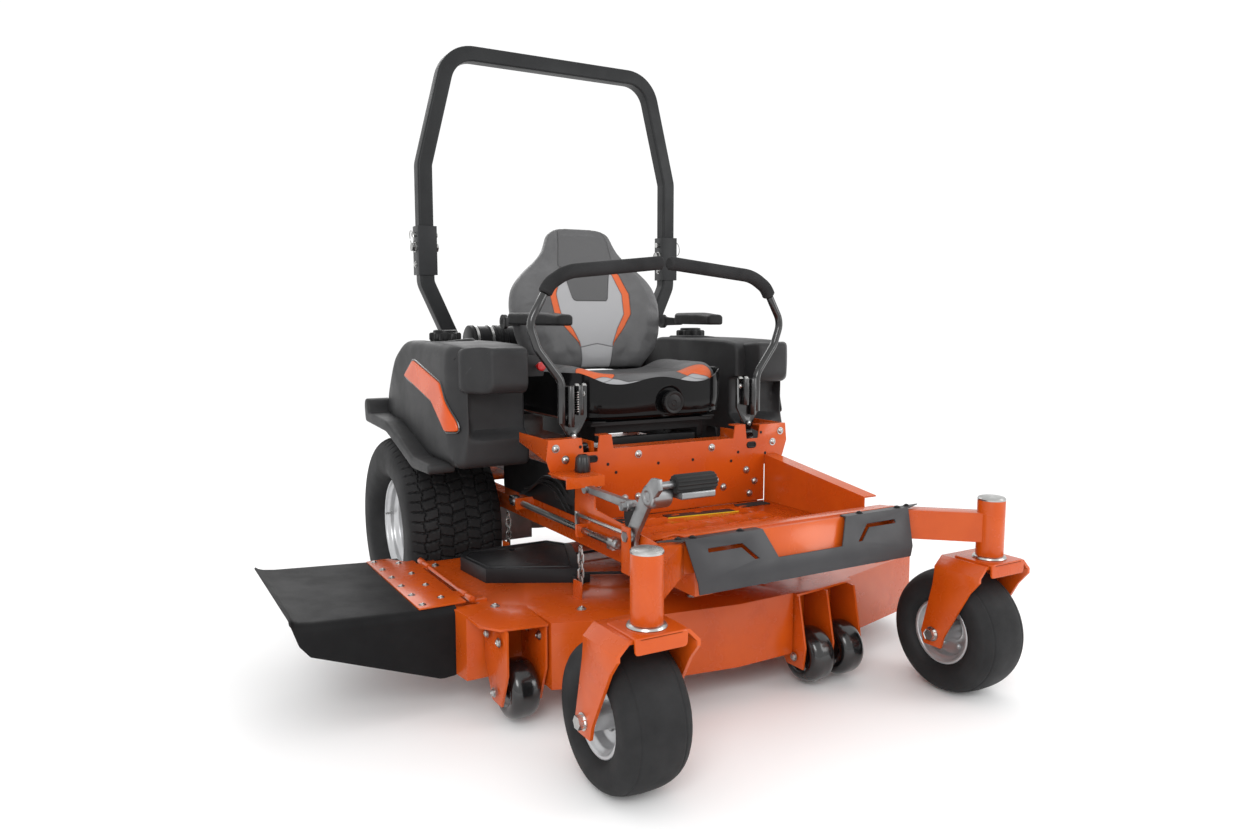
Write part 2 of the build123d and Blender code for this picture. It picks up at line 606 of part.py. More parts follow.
# Each blade with its spindle shaft and pulley.
for name, x, y in SPINDLES:
    with BuildPart() as blade:
        rod((x, y, 104), (x, y, 298), STEM_R)
        rod((x, y, 272), (x, y, 278), 62)
        rod((x, y, 278), (x, y, 286), 54)
        rod((x, y, 286), (x, y, 292), 62)
        with BuildSketch(Plane(origin=(x, y, 112), x_dir=(math.cos(x), math.sin(x), 0), z_dir=(0, 0, 1))):
            RectangleRounded(2 * BLADE_R - 2, 64, 10)
        extrude(amount=6)
    save(blade.part, f"blade_{name}")

for name, x, y in SCALP_WHEELS:
    with BuildPart() as scalp_wheel:
        start = Plane(origin=(x - SCALP_W / 2, y, SCALP_Z), z_dir=(1, 0, 0))
        with BuildSketch(start):
            Circle(SCALP_R)
            Circle(8 + RUNNING, mode=Mode.SUBTRACT)
        extrude(amount=SCALP_W)
        fillet(scalp_wheel.edges().filter_by(GeomType.CIRCLE).sort_by(SortBy.RADIUS)[-2:], 22)
    save(scalp_wheel.part, f"anti_scalp_wheel_{name}")

with BuildPart() as chute_plate:
    # The rear inner corner is cut back so that the raised plate passes the drive tyre.
    plate = [(-662, 640), (-785, 640), (-785, 1142), (-720, 1142), (-685, 1085), (-662, 1085)]
    plan_outline(plate, 270, 275)
    for y in (692, 1000):
        rod((CHUTE_HINGE_X, y, CHUTE_HINGE_Z), (CHUTE_HINGE_X, y + 44, CHUTE_HINGE_Z), 9)
        block((-664, -641), (y, y + 44), (270, 275))
    for y in (692, 1000):
        start = (CHUTE_HINGE_X, y - 1, CHUTE_HINGE_Z)
        rod(start, (CHUTE_HINGE_X, y + 46, CHUTE_HINGE_Z), 5 + RUNNING, Mode.SUBTRACT)
save(chute_plate.part, "chute_plate")

with BuildPart() as discharge_chute:
    top = [(-690, 265), (-785, 265), (-1082, 287), (CHUTE_OUTER_X, 296), (CHUTE_OUTER_X, 301)]
    top += [(-1079, 292), (-785, 270), (-690, 270)]
    front_outline(top, 622, 1150)
    flap = [(-700, 268), (-700, 92), (-735, 88), (-1050, 206), (-1076, 232), (-1080, 288), (-785, 268)]
    front_outline(flap, 622, 627)
save(discharge_chute.part, "discharge_chute")

# ---------------------------------------------------------------- lift linkage

with BuildPart() as lift_pedal:
    arm = [(PEDAL_Y + 18, PEDAL_Z - 10), (PEDAL_Y + 10, PEDAL_Z + 22), (290, 588), (250, 624), (222, 624)]
    arm += [(218, 600), (262, 556), (PEDAL_Y - 24, PEDAL_Z + 2), (PEDAL_Y - 16, PEDAL_Z - 30)]
    arm += [(PEDAL_Y + 12, PEDAL_Z - 30)]
    side_outline(arm, -352, -340)
    rod((-340, 267, 578), (-306, 267, 578), 20)
    rod((-340, 235, ROLLER_Z), (-180, 235, ROLLER_Z), 9)
    rod((-358, PEDAL_Y, PEDAL_Z), (-334, PEDAL_Y, PEDAL_Z), 16)
    rod((-360, PEDAL_Y, PEDAL_Z), (-332, PEDAL_Y, PEDAL_Z), 9 + RUNNING, Mode.SUBTRACT)
save(lift_pedal.part, "lift_pedal")

with BuildPart() as pedal_roller:
    with BuildSketch(Plane(origin=(-300, 235, ROLLER_Z), z_dir=(1, 0, 0))):
        Circle(21)
        with PolarLocations(21, 14):
            Circle(2.6)
        Circle(9, mode=Mode.SUBTRACT)
    extrude(amount=114)
save(pedal_roller.part, "pedal_roller")

with BuildPart() as lift_shaft:
    rod((-PEDAL_X, 450, LIFT_ROD_Z), (-PEDAL_X, 1060, LIFT_ROD_Z), 9)
    for y in (440, 1060):
        block((-PEDAL_X - 12, -PEDAL_X + 12), (y - 14, y + 14), (LIFT_ROD_Z - 14, LIFT_ROD_Z + 14))
    # Thin link rod above the shaft, joined to it by a drop plate.
    block((-PEDAL_X - 6, -PEDAL_X + 2), (628, 641), (LIFT_ROD_Z, LIFT_ROD_Z + 46))
    rod((-PEDAL_X - 2, 374, LIFT_ROD_Z + 38), (-PEDAL_X - 2, 634, LIFT_ROD_Z + 38), 5)
save(lift_shaft.part, "lift_shaft")

# ---------------------------------------------------------------- lap bars

for name, s in SIDES:
    with BuildPart() as control_arm:
        rod((s * 262, LAP_Y, ARM_PIVOT_Z), (s * 318, LAP_Y, ARM_PIVOT_Z), 17)
        block((s * 288, s * 324), (LAP_Y + 3, LAP_Y + 11), (ARM_PIVOT_Z, 694))
        rod((s * 260, LAP_Y, ARM_PIVOT_Z), (s * 326, LAP_Y, ARM_PIVOT_Z), 10 + RUNNING, Mode.SUBTRACT)
        rod((s * SWING_X, LAP_Y, SWING_Z), (s * SWING_X, LAP_Y + 12, SWING_Z), 6 + RUNNING, Mode.SUBTRACT)
    save(control_arm.part, f"control_arm_{name}")

    with BuildPart() as lap_bar:
        swing_plate = [(296, 652), (316, 652), (346, 700), (346, 803), (262, 803), (262, 715)]
        front_outline([(s * x, z) for x, z in swing_plate], LAP_Y - 6, LAP_Y + 2)
        rod((s * SWING_X, LAP_Y + 2, SWING_Z), (s * SWING_X, LAP_Y + 14, SWING_Z), 6)
        rod((s * SWING_X, LAP_Y - 12, SWING_Z), (s * SWING_X, LAP_Y - 6, SWING_Z), 11)
        rod((s * 288, LAP_Y - 16, 722), (s * 288, LAP_Y - 16, 803), 10)
        rod((s * 316, LAP_Y - 16, 690), (s * 316, LAP_Y - 16, 803), 10)
        bar_route = [(s * 338, LAP_Y - 4, 700), (s * 338, LAP_Y - 4, 815), (s * 408, LAP_Y, 905)]
        bar_route += [(s * 433, LAP_Y, 975), (s * 388, LAP_Y, 1053)]
        bent_tube(bar_route, [60, 70, 60], 11.5)
    save(lap_bar.part, f"lap_bar_{name}")

    with BuildPart() as lap_grip:
        grip_route = [(s * 388, LAP_Y, 1053), (s * 371, LAP_Y, 1082.5), (s * 318, LAP_Y, 1116), (s * 14, LAP_Y, 1148)]
        bent_tube(grip_route, [40, 70], 20)
    save(lap_grip.part, f"lap_grip_{name}")

# ---------------------------------------------------------------- seat

PAN_PLAN = [(-225, 778), (-120, 762), (120, 762), (225, 778), (290, 860), (300, 1150), (240, 1235)]
PAN_PLAN += [(-240, 1235), (-300, 1150), (-290, 860)]
KNOB_X = 35.0
KNOB_Z = 740.0

with BuildPart() as seat_pan:
    plan_outline(PAN_PLAN, 690, 832, corner=30)
    with BuildSketch(Plane.XY.offset(704)):
        with BuildLine():
            Polyline(*PAN_PLAN, close=True)
        make_face()
        offset(amount=-14, kind=Kind.INTERSECTION)
    extrude(amount=140, mode=Mode.SUBTRACT)
    with BuildSketch(Plane(origin=(0, 740, 0), x_dir=(1, 0, 0), z_dir=(0, -1, 0))):
        with BuildLine():
            ThreePointArc((-262, 832), (0, 792), (262, 832))
            Polyline((262, 832), (262, 900), (-262, 900), (-262, 832))
        make_face()
    extrude(amount=-520, mode=Mode.SUBTRACT)
    rod((KNOB_X, 750, KNOB_Z), (KNOB_X, 790, KNOB_Z), 8 + RUNNING, Mode.SUBTRACT)
save(seat_pan.part, "seat_pan")

with BuildPart() as suspension_knob:
    rod((KNOB_X, 742, KNOB_Z), (KNOB_X, 761, KNOB_Z), 34.5)
    rod((KNOB_X, 761, KNOB_Z), (KNOB_X, 774, KNOB_Z), 8)
save(suspension_knob.part, "suspension_knob")

with BuildPart() as seat_cushion:
    with BuildSketch(Plane.XY.offset(704.3)):
        with BuildLine():
            Polyline(*PAN_PLAN, close=True)
        make_face()
        offset(amount=-14.5, kind=Kind.INTERSECTION)
    extrude(amount=140)
    block((-400, 400), (1165, 1300), (780, 900), Mode.SUBTRACT)
save(seat_cushion.part, "seat_cushion")

RECLINE = Plane(origin=(0, 1180, 836), x_dir=(1, 0, 0), z_dir=(0, -0.968, 0.25))
BACK = [(200, 0), (262, 30), (284, 190), (240, 295), (150, 390), (96, 470)]

with BuildPart() as seat_back:
    outline(RECLINE, mirrored(BACK), -95, corner=26)
    for s in (-1, 1):
        wing = [(s * x, z) for x, z in ((170, 12), (250, 40), (272, 190), (232, 285), (170, 330))]
        outline(RECLINE, wing, 34, corner=12)
        rod((s * 270, 1226, 976), (s * 309, 1226, 976), 8)
        block((s * 100, s * 140), (1235, 1247), (740, 880))
save(seat_back.part, "seat_back")

for name, s in SIDES:
    with BuildPart() as armrest:
        plan = [(s * 236, 850), (s * 290, 842), (s * 340, 1130), (s * 286, 1140)]
        plan_outline(plan, 968, 1006, corner=14)
        block((s * 296, s * 308), (1100, 1236), (960, 990))
        rod((s * 296, 1226, 976), (s * 308, 1226, 976), 24)
        rod((s * 295, 1226, 976), (s * 309, 1226, 976), 8 + RUNNING, Mode.SUBTRACT)
    save(armrest.part, f"armrest_{name}")

# ---------------------------------------------------------------- belt and hand controls

with BuildPart() as deck_belt:
    with BuildSketch(Plane.XY.offset(279)):
        with Locations(*[(x, y) for _, x, y in SPINDLES]):
            Circle(63)
        make_hull()
        offset(amount=-8.3, mode=Mode.SUBTRACT)
    extrude(amount=6)
save(deck_belt.part, "deck_belt")

with BuildPart() as height_knob:
    with BuildSketch(Plane.XY.offset(578.5)):
        with Locations((-326, 640)):
            Circle(18)
            with PolarLocations(17, 8):
                Circle(4)
    extrude(amount=44, taper=3)
    rod((-326, 640, 622), (-326, 640, 626), 12)
save(height_knob.part, "height_knob")

with BuildPart() as pto_knob:
    rod((KNOB_SWITCH_X, 850, KNOB_SWITCH_Z), (KNOB_SWITCH_X, 868, KNOB_SWITCH_Z), 13)
    rod((KNOB_SWITCH_X, 868, KNOB_SWITCH_Z), (KNOB_SWITCH_X, 894, KNOB_SWITCH_Z), 5)
save(pto_knob.part, "pto_knob")
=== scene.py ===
"""Zero turn mower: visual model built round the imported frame.

Sizes are machine millimetres, measured from the casters' pivots on the centreline (+Y to the rear,
+X to the operator's left, +Z up), and place() moves them to the row frame in metres.
"""
import bpy
import math
import numpy as np
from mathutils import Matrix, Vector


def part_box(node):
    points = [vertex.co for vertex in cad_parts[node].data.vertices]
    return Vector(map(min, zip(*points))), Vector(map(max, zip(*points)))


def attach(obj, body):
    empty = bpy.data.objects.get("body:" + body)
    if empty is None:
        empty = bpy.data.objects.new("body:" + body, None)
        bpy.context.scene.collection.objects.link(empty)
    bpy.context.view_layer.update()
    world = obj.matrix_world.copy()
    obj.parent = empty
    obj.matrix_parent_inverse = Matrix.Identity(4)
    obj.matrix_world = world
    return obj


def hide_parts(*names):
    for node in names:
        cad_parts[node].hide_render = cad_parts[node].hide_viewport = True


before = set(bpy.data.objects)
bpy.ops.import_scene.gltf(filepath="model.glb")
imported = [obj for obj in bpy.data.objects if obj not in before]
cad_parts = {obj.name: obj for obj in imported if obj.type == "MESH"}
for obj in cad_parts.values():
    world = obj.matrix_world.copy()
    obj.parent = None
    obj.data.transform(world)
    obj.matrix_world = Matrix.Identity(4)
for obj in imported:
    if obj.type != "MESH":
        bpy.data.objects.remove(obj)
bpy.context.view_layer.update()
SIDES = (("right", -1), ("left", 1))


# ------------------------------------------------------------------ studio
# A pale seamless floor under three large soft lamps and an even white surround, with the camera
# at standing height to the front right of the machine.

def srgb(red, green, blue, alpha=1.0):
    """Display colour 0-255 to linear: ((c + 0.055) / 1.055) ^ 2.4, or c / 12.92 near black."""
    c = np.array([red, green, blue]) / 255
    linear = np.where(c <= 0.04045, c / 12.92, ((c + 0.055) / 1.055) ** 2.4)
    return (*linear.tolist(), alpha)


EYE = (-1.28364, -2.48216, 0.99776)
EYE_TURN = (math.radians(83.73), 0.0, math.radians(-30.11))
camera = bpy.data.objects.new("camera", bpy.data.cameras.new("camera"))
camera.location = EYE
camera.rotation_euler = EYE_TURN
camera.data.lens = 26.31
camera.data.sensor_width = 36.0
camera.data.clip_end = 200.0
bpy.context.scene.collection.objects.link(camera)
bpy.context.scene.camera = camera

world = bpy.data.worlds.new("studio")
bpy.context.scene.world = world
world.use_nodes = True
world.node_tree.nodes["Background"].inputs["Color"].default_value = (1.0, 1.0, 1.0, 1.0)
world.node_tree.nodes["Background"].inputs["Strength"].default_value = 1.05
bpy.context.scene.view_settings.view_transform = "Standard"

LAMPS = (
    ("key", (-2.4, -3.4, 2.6), 1.8, 60.0),
    ("fill", (2.8, -3.2, 1.9), 2.0, 36.0),
    ("rim", (0.6, 3.6, 3.2), 2.4, 40.0),
)
for name, spot, size, power in LAMPS:
    lamp = bpy.data.lights.new(name, "AREA")
    lamp.shape = "DISK"
    lamp.size = size
    lamp.energy = power
    holder = bpy.data.objects.new(name, lamp)
    holder.location = spot
    aim = np.array([0.0, 0.0, 0.6]) - np.array(spot)
    flat = math.hypot(aim[0], aim[1])
    holder.rotation_euler = (math.atan2(flat, -aim[2]), 0.0, math.atan2(aim[1], aim[0]) - math.pi / 2)
    bpy.context.scene.collection.objects.link(holder)


def material(name):
    """New node material; returns it with its Principled BSDF."""
    made = bpy.data.materials.new(name)
    made.use_nodes = True
    return made, made.node_tree.nodes["Principled BSDF"]


FLOOR_HALF = 40.0
floor_mesh = bpy.data.meshes.new("floor")
corners = [(-FLOOR_HALF, -FLOOR_HALF, 0), (FLOOR_HALF, -FLOOR_HALF, 0), (FLOOR_HALF, FLOOR_HALF, 0)]
floor_mesh.from_pydata(corners + [(-FLOOR_HALF, FLOOR_HALF, 0)], [], [(0, 1, 2, 3)])
floor = bpy.data.objects.new("floor", floor_mesh)
bpy.context.scene.collection.objects.link(floor)
floor_paint, bsdf = material("studio_floor")
bsdf.inputs["Base Color"].default_value = srgb(252, 252, 252)
bsdf.inputs["Roughness"].default_value = 0.9
bsdf.inputs["Specular IOR Level"].default_value = 0.1
floor.data.materials.append(floor_paint)


# ------------------------------------------------------------------ welded frame
# Rails, crossmember, caster arms and ramps of folded and welded sheet steel, powder coated in
# gloss orange. The folds have small radii and the coat shows a fine orange peel.

def place(points):
    """Machine millimetres to row metres: add the shift of the casters' pivots, divide by 1000."""
    return (np.asarray(points, float) + SHIFT) / 1000


wheel_low, wheel_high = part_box("rear_tyre_right")[0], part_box("rear_tyre_left")[1]
PIVOT_TO_TYRE = 76.0
SHIFT = np.array([500 * (wheel_low.x + wheel_high.x),
                  1000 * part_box("caster_tyre_right")[0].y + PIVOT_TO_TYRE, 0.0])


def group(name, inputs, outputs):
    """Empty shader group with named sockets: (name, socket type, default) in, (name, type) out."""
    tree = bpy.data.node_groups.new(name, "ShaderNodeTree")
    for title, kind, value in inputs:
        socket = tree.interface.new_socket(title, in_out="INPUT", socket_type=kind)
        socket.default_value = value
    for title, kind in outputs:
        tree.interface.new_socket(title, in_out="OUTPUT", socket_type=kind)
    return tree, tree.nodes.new("NodeGroupInput"), tree.nodes.new("NodeGroupOutput")


def node(tree, kind, links=(), **settings):
    """Adds a node, sets its properties and inputs, and links (output socket, input name) pairs."""
    made = tree.nodes.new(kind)
    for key, value in settings.items():
        if hasattr(made, key):
            setattr(made, key, value)
        else:
            made.inputs[key.replace("_", " ")].default_value = value
    for output, key in links:
        tree.links.new(output, made.inputs[key])
    return made


def placed(enter):
    """Links that give a texture its group's position and scale."""
    return [(enter.outputs["Position"], "Vector"), (enter.outputs["Scale"], "Scale")]


FLOAT, COLOR, VECTOR = "NodeSocketFloat", "NodeSocketColor", "NodeSocketVector"

# Mottle: two close tones mixed by soft noise, lifted towards a lighter edge colour where pointiness finds a
# convex edge, a painted highlight, with a mask that varies the gloss.
tree, enter, leave = group(
    "mottle",
    [("Position", VECTOR, (0, 0, 0)), ("Tone", COLOR, (1, 1, 1, 1)), ("Shade", COLOR, (0, 0, 0, 1)),
     ("Edge", COLOR, (1, 1, 1, 1)), ("Scale", FLOAT, 12.0), ("Edge Amount", FLOAT, 0.3)],
    [("Color", COLOR), ("Mask", FLOAT)])
soft = node(tree, "ShaderNodeTexNoise", placed(enter), Detail=6.0, Roughness=0.6)
spread = node(tree, "ShaderNodeMapRange", [(soft.outputs["Fac"], "Value")])
spread.inputs["From Min"].default_value = 0.36
spread.inputs["From Max"].default_value = 0.64
blend = node(tree, "ShaderNodeMix", [(spread.outputs[0], "Factor")], data_type="RGBA")
tree.links.new(enter.outputs["Tone"], blend.inputs[6])
tree.links.new(enter.outputs["Shade"], blend.inputs[7])
# Painted highlight: where pointiness marks a convex edge, the colour is mixed towards the lighter Edge
# colour.
shape = node(tree, "ShaderNodeNewGeometry")
crest = node(tree, "ShaderNodeMapRange", [(shape.outputs["Pointiness"], "Value")])
crest.inputs["From Min"].default_value = 0.52
crest.inputs["From Max"].default_value = 0.62
crest_amount = node(tree, "ShaderNodeMath", [(crest.outputs[0], 0), (enter.outputs["Edge Amount"], 1)],
                    operation="MULTIPLY")
edge_highlight = node(tree, "ShaderNodeMix", [(crest_amount.outputs[0], "Factor")], data_type="RGBA")
tree.links.new(blend.outputs[2], edge_highlight.inputs[6])
tree.links.new(enter.outputs["Edge"], edge_highlight.inputs[7])
tree.links.new(edge_highlight.outputs[2], leave.inputs["Color"])
tree.links.new(spread.outputs[0], leave.inputs["Mask"])
MOTTLE = tree

# Relief heights, one group each: orange peel, moulded grain, leather grain and brushing.

def relief_group(name, scale):
    """Empty group that turns a position and a scale into a height."""
    return group(name, [("Position", VECTOR, (0, 0, 0)), ("Scale", FLOAT, scale)], [("Height", FLOAT)])


ORANGE_PEEL, enter, leave = relief_group("orange_peel", 600.0)
peel = node(ORANGE_PEEL, "ShaderNodeTexNoise", placed(enter), Detail=2.0, Roughness=0.4)
ORANGE_PEEL.links.new(peel.outputs["Fac"], leave.inputs["Height"])

MOULDED_GRAIN, enter, leave = relief_group("moulded_grain", 900.0)
cells = node(MOULDED_GRAIN, "ShaderNodeTexVoronoi", placed(enter), feature="SMOOTH_F1", Smoothness=0.6)
fine = node(MOULDED_GRAIN, "ShaderNodeTexNoise", placed(enter), Detail=3.0)
total = node(MOULDED_GRAIN, "ShaderNodeMath", [(cells.outputs["Distance"], 0), (fine.outputs["Fac"], 1)],
             operation="ADD")
MOULDED_GRAIN.links.new(total.outputs[0], leave.inputs["Height"])

LEATHER_GRAIN, enter, leave = relief_group("leather_grain", 420.0)
warp = node(LEATHER_GRAIN, "ShaderNodeTexNoise", [(enter.outputs["Position"], "Vector")], Scale=60.0,
            Detail=3.0)
moved = node(LEATHER_GRAIN, "ShaderNodeVectorMath", [(warp.outputs["Color"], 0)], operation="SCALE")
moved.inputs["Scale"].default_value = 0.004
summed = node(LEATHER_GRAIN, "ShaderNodeVectorMath", [(enter.outputs["Position"], 0), (moved.outputs[0], 1)],
              operation="ADD")
pebble = node(LEATHER_GRAIN, "ShaderNodeTexVoronoi",
              [(summed.outputs[0], "Vector"), (enter.outputs["Scale"], "Scale")], feature="DISTANCE_TO_EDGE")
smooth = node(LEATHER_GRAIN, "ShaderNodeMapRange", [(pebble.outputs["Distance"], "Value")],
              interpolation_type="SMOOTHSTEP")
smooth.inputs["From Max"].default_value = 0.25
LEATHER_GRAIN.links.new(smooth.outputs[0], leave.inputs["Height"])

BRUSHED, enter, leave = relief_group("brushed", 300.0)
long_way = node(BRUSHED, "ShaderNodeMapping", [(enter.outputs["Position"], "Vector")], Scale=(0.06, 1.0, 1.0))
hairs = node(BRUSHED, "ShaderNodeTexNoise",
             [(long_way.outputs[0], "Vector"), (enter.outputs["Scale"], "Scale")], Detail=5.0, Roughness=0.7)
BRUSHED.links.new(hairs.outputs["Fac"], leave.inputs["Height"])


def finish(name, tone, shade, relief, grain, depth, rough, spread=0.08, mottle=9.0, edge=None,
           edge_amount=0.25, metallic=0.0, coat=0.0, coat_rough=0.1, sheen=0.0, specular=0.5):
    """Finish of mottled colour with a painted highlight, a lighter edge colour on convex edges, roughness =
    rough + spread x mask, and a bump of the given relief.
    """
    made, shader = material(name)
    tree = made.node_tree
    where = node(tree, "ShaderNodeTexCoord")
    tones = node(tree, "ShaderNodeGroup", node_tree=MOTTLE)
    tree.links.new(where.outputs["Object"], tones.inputs["Position"])
    tones.inputs["Tone"].default_value = tone
    tones.inputs["Shade"].default_value = shade
    # The edge colour is a painted highlight on convex edges.
    tones.inputs["Edge"].default_value = edge or tone
    tones.inputs["Scale"].default_value = mottle
    tones.inputs["Edge Amount"].default_value = edge_amount
    gloss = node(tree, "ShaderNodeMapRange", [(tones.outputs["Mask"], "Value")])
    gloss.inputs["To Min"].default_value = rough
    gloss.inputs["To Max"].default_value = rough + spread
    heights = node(tree, "ShaderNodeGroup", node_tree=relief)
    tree.links.new(where.outputs["Object"], heights.inputs["Position"])
    heights.inputs["Scale"].default_value = grain
    bump = node(tree, "ShaderNodeBump", [(heights.outputs["Height"], "Height")], Strength=1.0, Distance=depth)
    tree.links.new(tones.outputs["Color"], shader.inputs["Base Color"])
    tree.links.new(gloss.outputs[0], shader.inputs["Roughness"])
    tree.links.new(bump.outputs[0], shader.inputs["Normal"])
    shader.inputs["Metallic"].default_value = metallic
    shader.inputs["Coat Weight"].default_value = coat
    shader.inputs["Coat Roughness"].default_value = coat_rough
    shader.inputs["Sheen Weight"].default_value = sheen
    shader.inputs["Specular IOR Level"].default_value = specular
    return made


ORANGE = finish("orange_powder_coat", srgb(190, 77, 14), srgb(181, 69, 10), ORANGE_PEEL, 420, 0.00008, 0.22,
                edge=srgb(220, 110, 48), coat=0.12, coat_rough=0.08, specular=0.32)

# Softened folds for CAD sheet: corners welded, bevelled, and shaded smooth below 35 degrees.
tree = bpy.data.node_groups.new("smooth_folds", "GeometryNodeTree")
tree.interface.new_socket("Geometry", in_out="INPUT", socket_type="NodeSocketGeometry")
tree.interface.new_socket("Geometry", in_out="OUTPUT", socket_type="NodeSocketGeometry")
enter, leave = tree.nodes.new("NodeGroupInput"), tree.nodes.new("NodeGroupOutput")
angle = tree.nodes.new("GeometryNodeInputMeshEdgeAngle")
flat_enough = tree.nodes.new("FunctionNodeCompare")
flat_enough.operation = "LESS_THAN"
flat_enough.inputs[1].default_value = math.radians(35)
faces = tree.nodes.new("GeometryNodeSetShadeSmooth")
edges = tree.nodes.new("GeometryNodeSetShadeSmooth")
edges.domain = "EDGE"
tree.links.new(angle.outputs["Unsigned Angle"], flat_enough.inputs[0])
tree.links.new(enter.outputs[0], faces.inputs["Geometry"])
tree.links.new(faces.outputs[0], edges.inputs["Geometry"])
tree.links.new(flat_enough.outputs[0], edges.inputs["Shade Smooth"])
tree.links.new(edges.outputs[0], leave.inputs[0])
SMOOTH_FOLDS = tree


def dress(name, paint, fold=1.5):
    """Gives a CAD node its finish and rounds its corners by fold millimetres."""
    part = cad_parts[name]
    part.data.materials.clear()
    part.data.materials.append(paint)
    part.modifiers.new("weld", "WELD").merge_threshold = 0.00002
    if fold:
        bevel = part.modifiers.new("fold", "BEVEL")
        bevel.width = fold / 1000
        bevel.segments = 2
        bevel.limit_method = "ANGLE"
        bevel.angle_limit = math.radians(40)
        bevel.harden_normals = False
    part.modifiers.new("smooth", "NODES").node_group = SMOOTH_FOLDS
    return part


dress("main_frame", ORANGE, 2.5)
dress("console_panel", ORANGE, 1.2)
dress("floor_pan", ORANGE, 1.2)
for name, s in SIDES:
    dress(f"caster_fork_{name}", ORANGE, 2.5)
SATIN_BLACK = finish("satin_black_coat", srgb(37, 38, 39), srgb(31, 32, 33), ORANGE_PEEL, 500, 0.00006, 0.38,
                     edge=srgb(80, 80, 82), specular=0.22)


# ------------------------------------------------------------------ tyres
# Pneumatic tyres: wide turf tyres at the rear with zigzag rows of moulded blocks, and smooth
# caster tyres with two shallow grooves. Each is one closed turned surface with its tread raised.

def skin(grid, wrap=(False, False), caps=False, poles=False):
    """Points and faces of a grid: (i, j) meets (i+1, j), (i+1, j+1) and (i, j+1) in one quad,
    round the seam where a direction wraps; caps closes the first and last rows, and poles the
    first and last columns. Faces are turned round where the volume comes out below 0."""
    rows, columns = grid.shape[:2]
    i, j = np.meshgrid(np.arange(rows - (not wrap[0])), np.arange(columns - (not wrap[1])), indexing="ij")
    i, j = i.ravel(), j.ravel()
    i2, j2 = (i + 1) % rows, (j + 1) % columns
    quads = np.stack([i * columns + j, i2 * columns + j, i2 * columns + j2, i * columns + j2], 1)
    points = grid.reshape(-1, 3)
    faces = quads.tolist()
    if caps:
        faces.append(list(range(columns)))
        faces.append(list(range((rows - 1) * columns, rows * columns))[::-1])
    if poles:
        rings = np.arange(rows) * columns
        faces += [rings[::-1].tolist(), (rings + columns - 1).tolist()]
    a, b, c, d = (points - points.mean(0))[quads.T]
    if (a * np.cross(b, c)).sum() + (a * np.cross(c, d)).sum() < 0:
        faces = [face[::-1] for face in faces]
    return points, faces


def build(name, shells, paint, body, slot, *nodes, sharp=35):
    """One object from several shells: joined, shaded smooth below the sharp angle, given its
    finish and its body, with the CAD nodes it stands for hidden. The slot argument is not used."""
    starts = np.cumsum([0] + [len(points) for points, _ in shells])
    points = place(np.concatenate([points for points, _ in shells]))
    faces = [[k + start for k in face] for start, (_, fs) in zip(starts, shells) for face in fs]
    mesh = bpy.data.meshes.new(name)
    mesh.from_pydata(points.tolist(), [], faces)
    mesh.shade_smooth()
    mesh.set_sharp_from_angle(angle=math.radians(sharp))
    piece = bpy.data.objects.new(name, mesh)
    bpy.context.scene.collection.objects.link(piece)
    mesh.materials.append(paint)
    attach(piece, body)
    if nodes:
        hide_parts(*nodes)
    return piece


AXES = {"x": (0, 1, 2), "y": (1, 2, 0), "z": (2, 0, 1)}


def turned(profile, centre, axis, count=72, closed=True):
    """Shell turned about an axis: profile of (along, radius) carried round a full circle,
    point = centre + along * axis + radius * (cos, sin) in the other two directions."""
    profile = np.asarray(profile, float)
    if profile.ndim == 2:
        profile = np.repeat(profile[None], count, 0)
    turn = np.arange(len(profile)) * 2 * math.pi / len(profile)
    main, first, second = AXES[axis]
    grid = np.zeros(profile.shape[:2] + (3,))
    grid[..., main] = profile[..., 0]
    grid[..., first] = profile[..., 1] * np.cos(turn)[:, None]
    grid[..., second] = profile[..., 1] * np.sin(turn)[:, None]
    return skin(grid + np.array(centre, float), (True, closed), poles=not closed)


CENTRE = 0.01


def pin(low, high, radius, centre, axis, count):
    """Plain round pin: a rectangle low to high by radius, turned about the axis."""
    profile = [(low, CENTRE), (low, radius), (high, radius), (high, CENTRE)]
    return turned(profile, centre, axis, count, closed=False)


def band(low, high, inner, outer, centre, axis, count):
    """Plain ring: a rectangle low to high by inner to outer, turned about the axis."""
    return turned([(low, inner), (low, outer), (high, outer), (high, inner)], centre, axis, count)


def groove(distance, half, soft):
    """1 in a groove's floor, 0 outside: falls smoothly from half - soft to half + soft."""
    t = np.clip((half + soft - np.abs(distance)) / (2 * soft), 0, 1)
    return t * t * (3 - 2 * t)


def tyre_section(width, outer, bead, power, top, rest):
    """Closed superellipse |x/a|^n + |y/b|^n = 1 as (x, radius), spaced finely over the crown."""
    a, b = width / 2, (outer - bead) / 2
    t = np.linspace(0, 2 * math.pi, 4001) - math.pi / 2
    x = a * np.sign(np.cos(t)) * np.abs(np.cos(t)) ** (2 / power)
    y = b * np.sign(np.sin(t)) * np.abs(np.sin(t)) ** (2 / power)
    step = np.hypot(np.diff(x), np.diff(y))
    density = np.where(y[1:] > 0.45 * b, 1 / top, 1 / rest)
    along = np.concatenate([[0], np.cumsum(step * density)])
    even = np.linspace(0, along[-1], int(along[-1]) + 1)[:-1]
    return np.interp(even, along, x), np.interp(even, along, y) + (outer + bead) / 2


RUBBER = finish("tyre_rubber", srgb(37, 37, 38), srgb(29, 29, 30), MOULDED_GRAIN, 700, 0.0001, 0.6,
                spread=0.12, edge=srgb(66, 66, 66), edge_amount=0.35, specular=0.22)
REAR_RADIUS, REAR_WIDTH, REAR_BEAD = 304.5, 304.0, 152.0
REAR_HUBS = {"right": (-504.5, 1401.0, 305.0), "left": (504.5, 1401.0, 305.0)}
TREAD_DEPTH = 7.5
PITCHES = 58
ROWS = (-108, -66, -22, 22, 66, 108)


